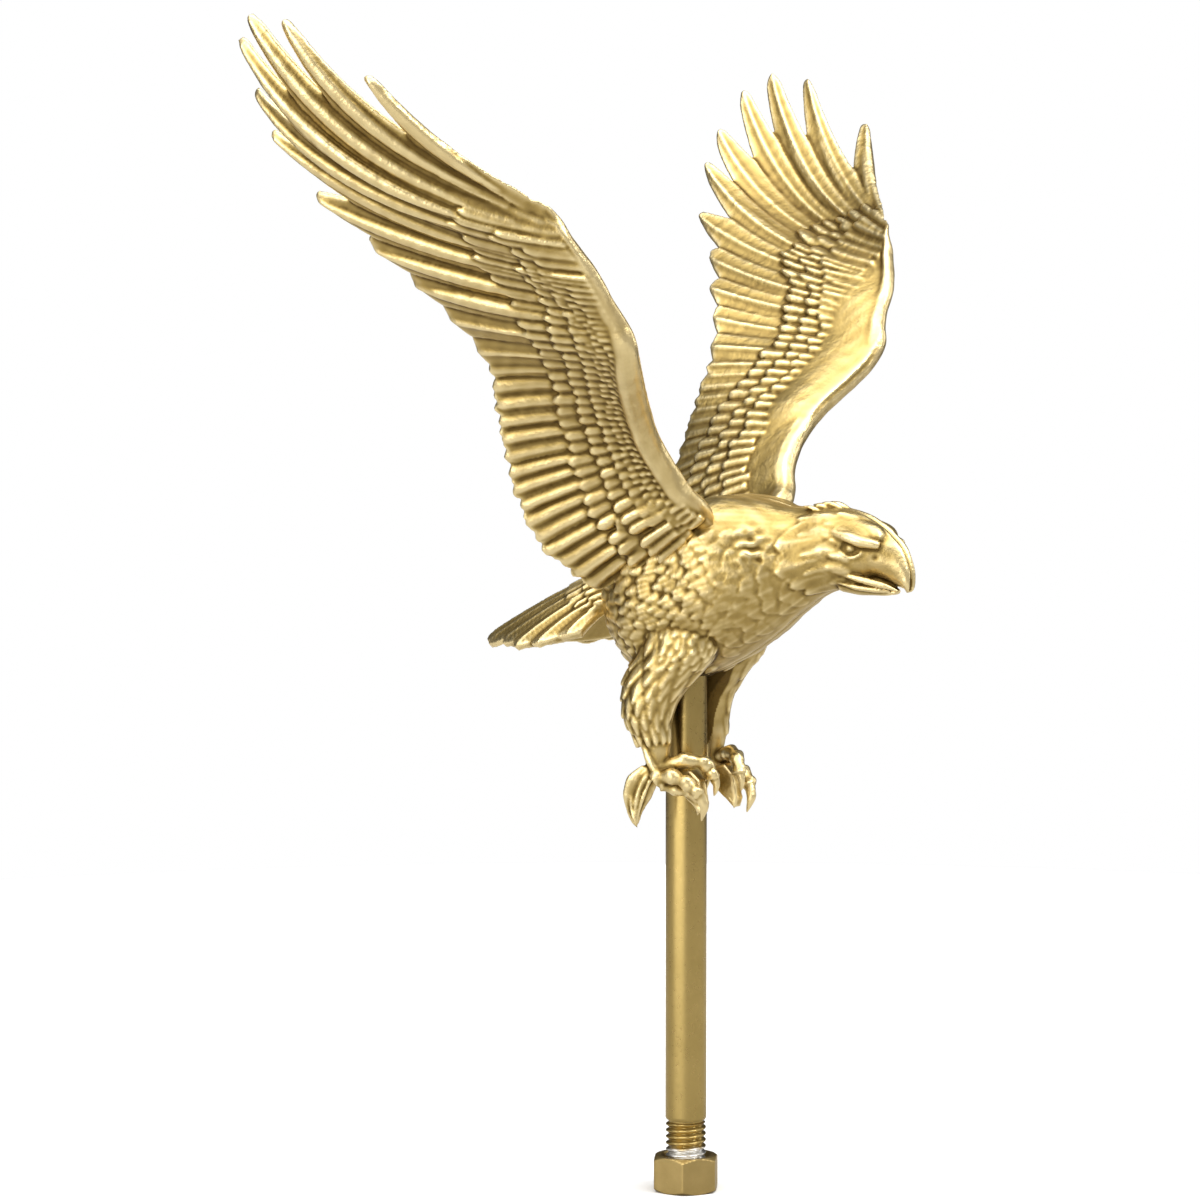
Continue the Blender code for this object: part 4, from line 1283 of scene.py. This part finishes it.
THREAD_TOP = 21.5
THREAD_PITCH = 25.4 / 13
THREAD_DEPTH = 0.95
BARE_TOP = 12.6  # the thread is bare steel up to here
NUT_FLAT = 19.05 / 2  # from the nut's axis to its flats
CORNER_TURN = 25.8  # how far one corner of the nut is turned from +X, in degrees


def build_spindle():
    """The rod with its helical thread, the groove that ends it and a chamfered top."""
    angle = full_turn(96)
    rings = []
    for height in (0.0, 0.5, *np.arange(1.0, THREAD_TOP - 0.6, THREAD_PITCH / 12)):
        phase = (height / THREAD_PITCH - angle / (2 * np.pi)) % 1.0
        wave = np.clip(np.abs(2 * phase - 1) * 1.35 - 0.12, 0, 1)
        fade = np.clip((height - 0.3) / 1.2, 0, 1)
        radius = ROD_RADIUS - 0.12 - THREAD_DEPTH + THREAD_DEPTH * wave * fade
        rings.append(level_ring(radius, angle, height))
    for rise, inset in ((-0.4, 1.0), (0, 1.0), (0.25, 0.325), (0.9, 0), (1.3, 0)):
        rings.append(level_ring(ROD_RADIUS - inset, angle, THREAD_TOP + rise))
    for height in np.linspace(THREAD_TOP + 2, ROD_LENGTH - 1.2, 60):
        rings.append(level_ring(ROD_RADIUS, angle, height))
    rings.append(level_ring(ROD_RADIUS - 1.2, angle, ROD_LENGTH))
    shells = Shells()
    shells.tube(np.array(rings))
    rod = new_object("rod", shells.mesh("rod"))
    set_rod_painted_shade(rod.data)
    return rod


def set_rod_painted_shade(mesh):
    """Painted shade: dark strips on the rod where the legs beside it shade it."""
    points = read_points(mesh)
    x = points[:, 0]
    z = points[:, 2]
    sideways = np.abs(x) / np.maximum(np.hypot(x, points[:, 1]), 0.1)
    strip = np.clip((sideways - 0.93) / 0.04, 0, 1)
    store(mesh, "painted_shade", strip * np.clip((z - 127) / 3, 0, 1) * np.clip((166 - z) / 4, 0, 1))


def build_nut():
    """Hex nut with chamfered corners, a raised washer face and a countersunk bore."""
    low, high = (nut_low.z - BASE[2]) / MM, (nut_high.z - BASE[2]) / MM
    count = 180
    angle = full_turn(count)
    from_corner = (angle - math.radians(CORNER_TURN)) % (np.pi / 3)
    hexagon = NUT_FLAT / np.cos(from_corner - np.pi / 6)
    hexagon = np.minimum(hexagon, NUT_FLAT * 1.1547 - 0.12)
    bore = ROD_RADIUS + 0.15
    face = NUT_FLAT - 0.35
    rises = (0.0, 0.15, 0.35, 0.6, 0.9, 1.2)
    # From inside the bore over the lower face, up the flats and back in over the upper face.
    section = [(low + 1.4, bore), (low, bore + 1.3), (low, face)]
    chamfer = [(rise, np.minimum(hexagon, face + 0.12 + rise * 1.5)) for rise in rises]
    section += [(low + rise, radius) for rise, radius in chamfer]
    section += [(low + 1.6, hexagon), (high - 1.6, hexagon)]
    section += [(high - rise, radius) for rise, radius in chamfer[::-1]]
    section += [(high, face), (high, bore + 1.3), (high - 1.4, bore)]
    rings = [level_ring(radius, angle, height) for height, radius in section]
    faces = []
    for row in range(len(rings)):
        first = row * count
        above = (row + 1) % len(rings) * count
        for step in range(count):
            beside = (step + 1) % count
            faces.append([first + step, first + beside, above + beside, above + step])
    mesh = bpy.data.meshes.new("nut")
    mesh.from_pydata(np.concatenate(rings).tolist(), [], faces)
    work = bmesh.new()
    work.from_mesh(mesh)
    bmesh.ops.recalc_face_normals(work, faces=work.faces)
    work.to_mesh(mesh)
    work.free()
    return new_object("nut", mesh)


# ---- materials ----

# The deepest gold is painted shade and the highest gold is painted highlight.
PAINTED_SHADE_GOLD = (0.11, 0.066, 0.016, 1.0)
MID_GOLD = (0.43, 0.308, 0.104, 1.0)
PAINTED_HIGHLIGHT_GOLD = (0.91, 0.745, 0.4, 1.0)
WORN_GOLD = (0.4, 0.275, 0.09, 1.0)
BARE_STEEL = (0.75, 0.74, 0.71, 1.0)


def cast_gold():
    """Gold-finished casting with painted shade in its hollows and painted highlights on its high points."""
    metal = Metal("cast_gold")
    relief = metal.attribute("relief")
    patches = metal.noise(90.0)
    grain = metal.noise(1400.0, detail=3.0)
    # Painted shade in hollows and painted highlights on high points, following the relief.
    colour = metal.blend(metal.span(relief, 0.12, 0.5), PAINTED_SHADE_GOLD, MID_GOLD)
    colour = metal.blend(metal.span(relief, 0.5, 0.95), colour, PAINTED_HIGHLIGHT_GOLD)
    colour = metal.blend(metal.span(patches, 0.35, 0.75, 0.0, 0.25), colour, WORN_GOLD)
    roughness = metal.span(relief, 0.1, 0.9, 0.49, 0.33)
    roughness = metal.total(roughness, metal.span(patches, 0.3, 0.7, -0.04, 0.06))
    pits = metal.span(metal.noise(420.0, detail=2.0), 0.35, 0.65, 0.0, 1.6)
    return metal.finish(colour, roughness, metal.total(grain, pits), 0.00005)


def rod_gold():
    """Satin gold bar, with a bare steel end where the finish stops on the thread, and painted shade where
    the legs lie beside it.
    """
    metal = Metal("rod_gold")
    split = metal.add("ShaderNodeSeparateXYZ")
    metal.feed(metal.coordinate(), split.inputs[0])
    ragged = metal.span(metal.noise(260.0), 0.3, 0.7, -0.0006, 0.0006)
    edge = metal.total(split.outputs["Z"], ragged)
    bare = metal.span(edge, BARE_TOP * MM + 0.0012, BARE_TOP * MM)
    patches = metal.span(metal.noise(60.0), 0.3, 0.7)
    streaks = metal.noise(700.0)
    colour = metal.blend(patches, (0.4, 0.29, 0.1, 1.0), (0.46, 0.335, 0.122, 1.0))
    colour = metal.blend(bare, colour, BARE_STEEL)
    # Painted shade: the strips beside the legs are darkened towards the darkest gold.
    painted_shade = metal.span(metal.attribute("painted_shade"), 0.0, 1.0, 0.0, 0.85)
    colour = metal.blend(painted_shade, colour, PAINTED_SHADE_GOLD)
    return metal.finish(colour, metal.span(streaks, 0.3, 0.7, 0.26, 0.36), streaks, 0.00002)


def patchy_metal(name, patch_scale, dark, pale, smooth, rough, grain_scale, depth):
    """A metal whose colour and gloss change a little from patch to patch."""
    metal = Metal(name)
    patches = metal.noise(patch_scale)
    colour = metal.blend(metal.span(patches, 0.3, 0.7), dark, pale)
    roughness = metal.span(patches, 0.3, 0.7, smooth, rough)
    return metal.finish(colour, roughness, metal.noise(grain_scale), depth)


def nut_gold():
    dark, pale = (0.40, 0.29, 0.11, 1.0), (0.47, 0.345, 0.14, 1.0)
    return patchy_metal("nut_gold", 160.0, dark, pale, 0.34, 0.44, 1500.0, 0.00004)


def steel():
    dark, pale = (0.55, 0.55, 0.54, 1.0), (0.66, 0.66, 0.64, 1.0)
    return patchy_metal("steel", 300.0, dark, pale, 0.25, 0.38, 1800.0, 0.00002)


# ---- assembly ----


def main():
    add_stage()
    gold = cast_gold()

    def casting(obj, name, node, painted_shade=None):
        finish_piece(obj, name, gold, "eagle", node, painted_shade=painted_shade)

    wing = build_wing()
    casting(mirrored(wing, "wing_twin"), "right_wing_cast", "right_wing")
    casting(wing, "left_wing_cast", "left_wing")
    half = build_half()
    # Both halves get painted shade inside the legs, round the rod and in the mouth.
    casting(mirrored(half, "half_twin"), "right_half_cast", "body_right_half", inner_painted_shade)
    cut_screw_recesses(half)
    casting(half, "left_half_cast", "body_left_half", inner_painted_shade)
    casting(build_tail(), "tail_cast", "tail_fan")
    finish_piece(build_spindle(), "spindle_rod", rod_gold(), "eagle", "spindle", 40)
    finish_piece(build_nut(), "nut_hex", nut_gold(), "nut", "hex_nut", 25)
    hidden_metal = steel()
    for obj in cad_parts.values():
        if not obj.hide_render:
            obj.data.materials.clear()
            obj.data.materials.append(hidden_metal)


main()
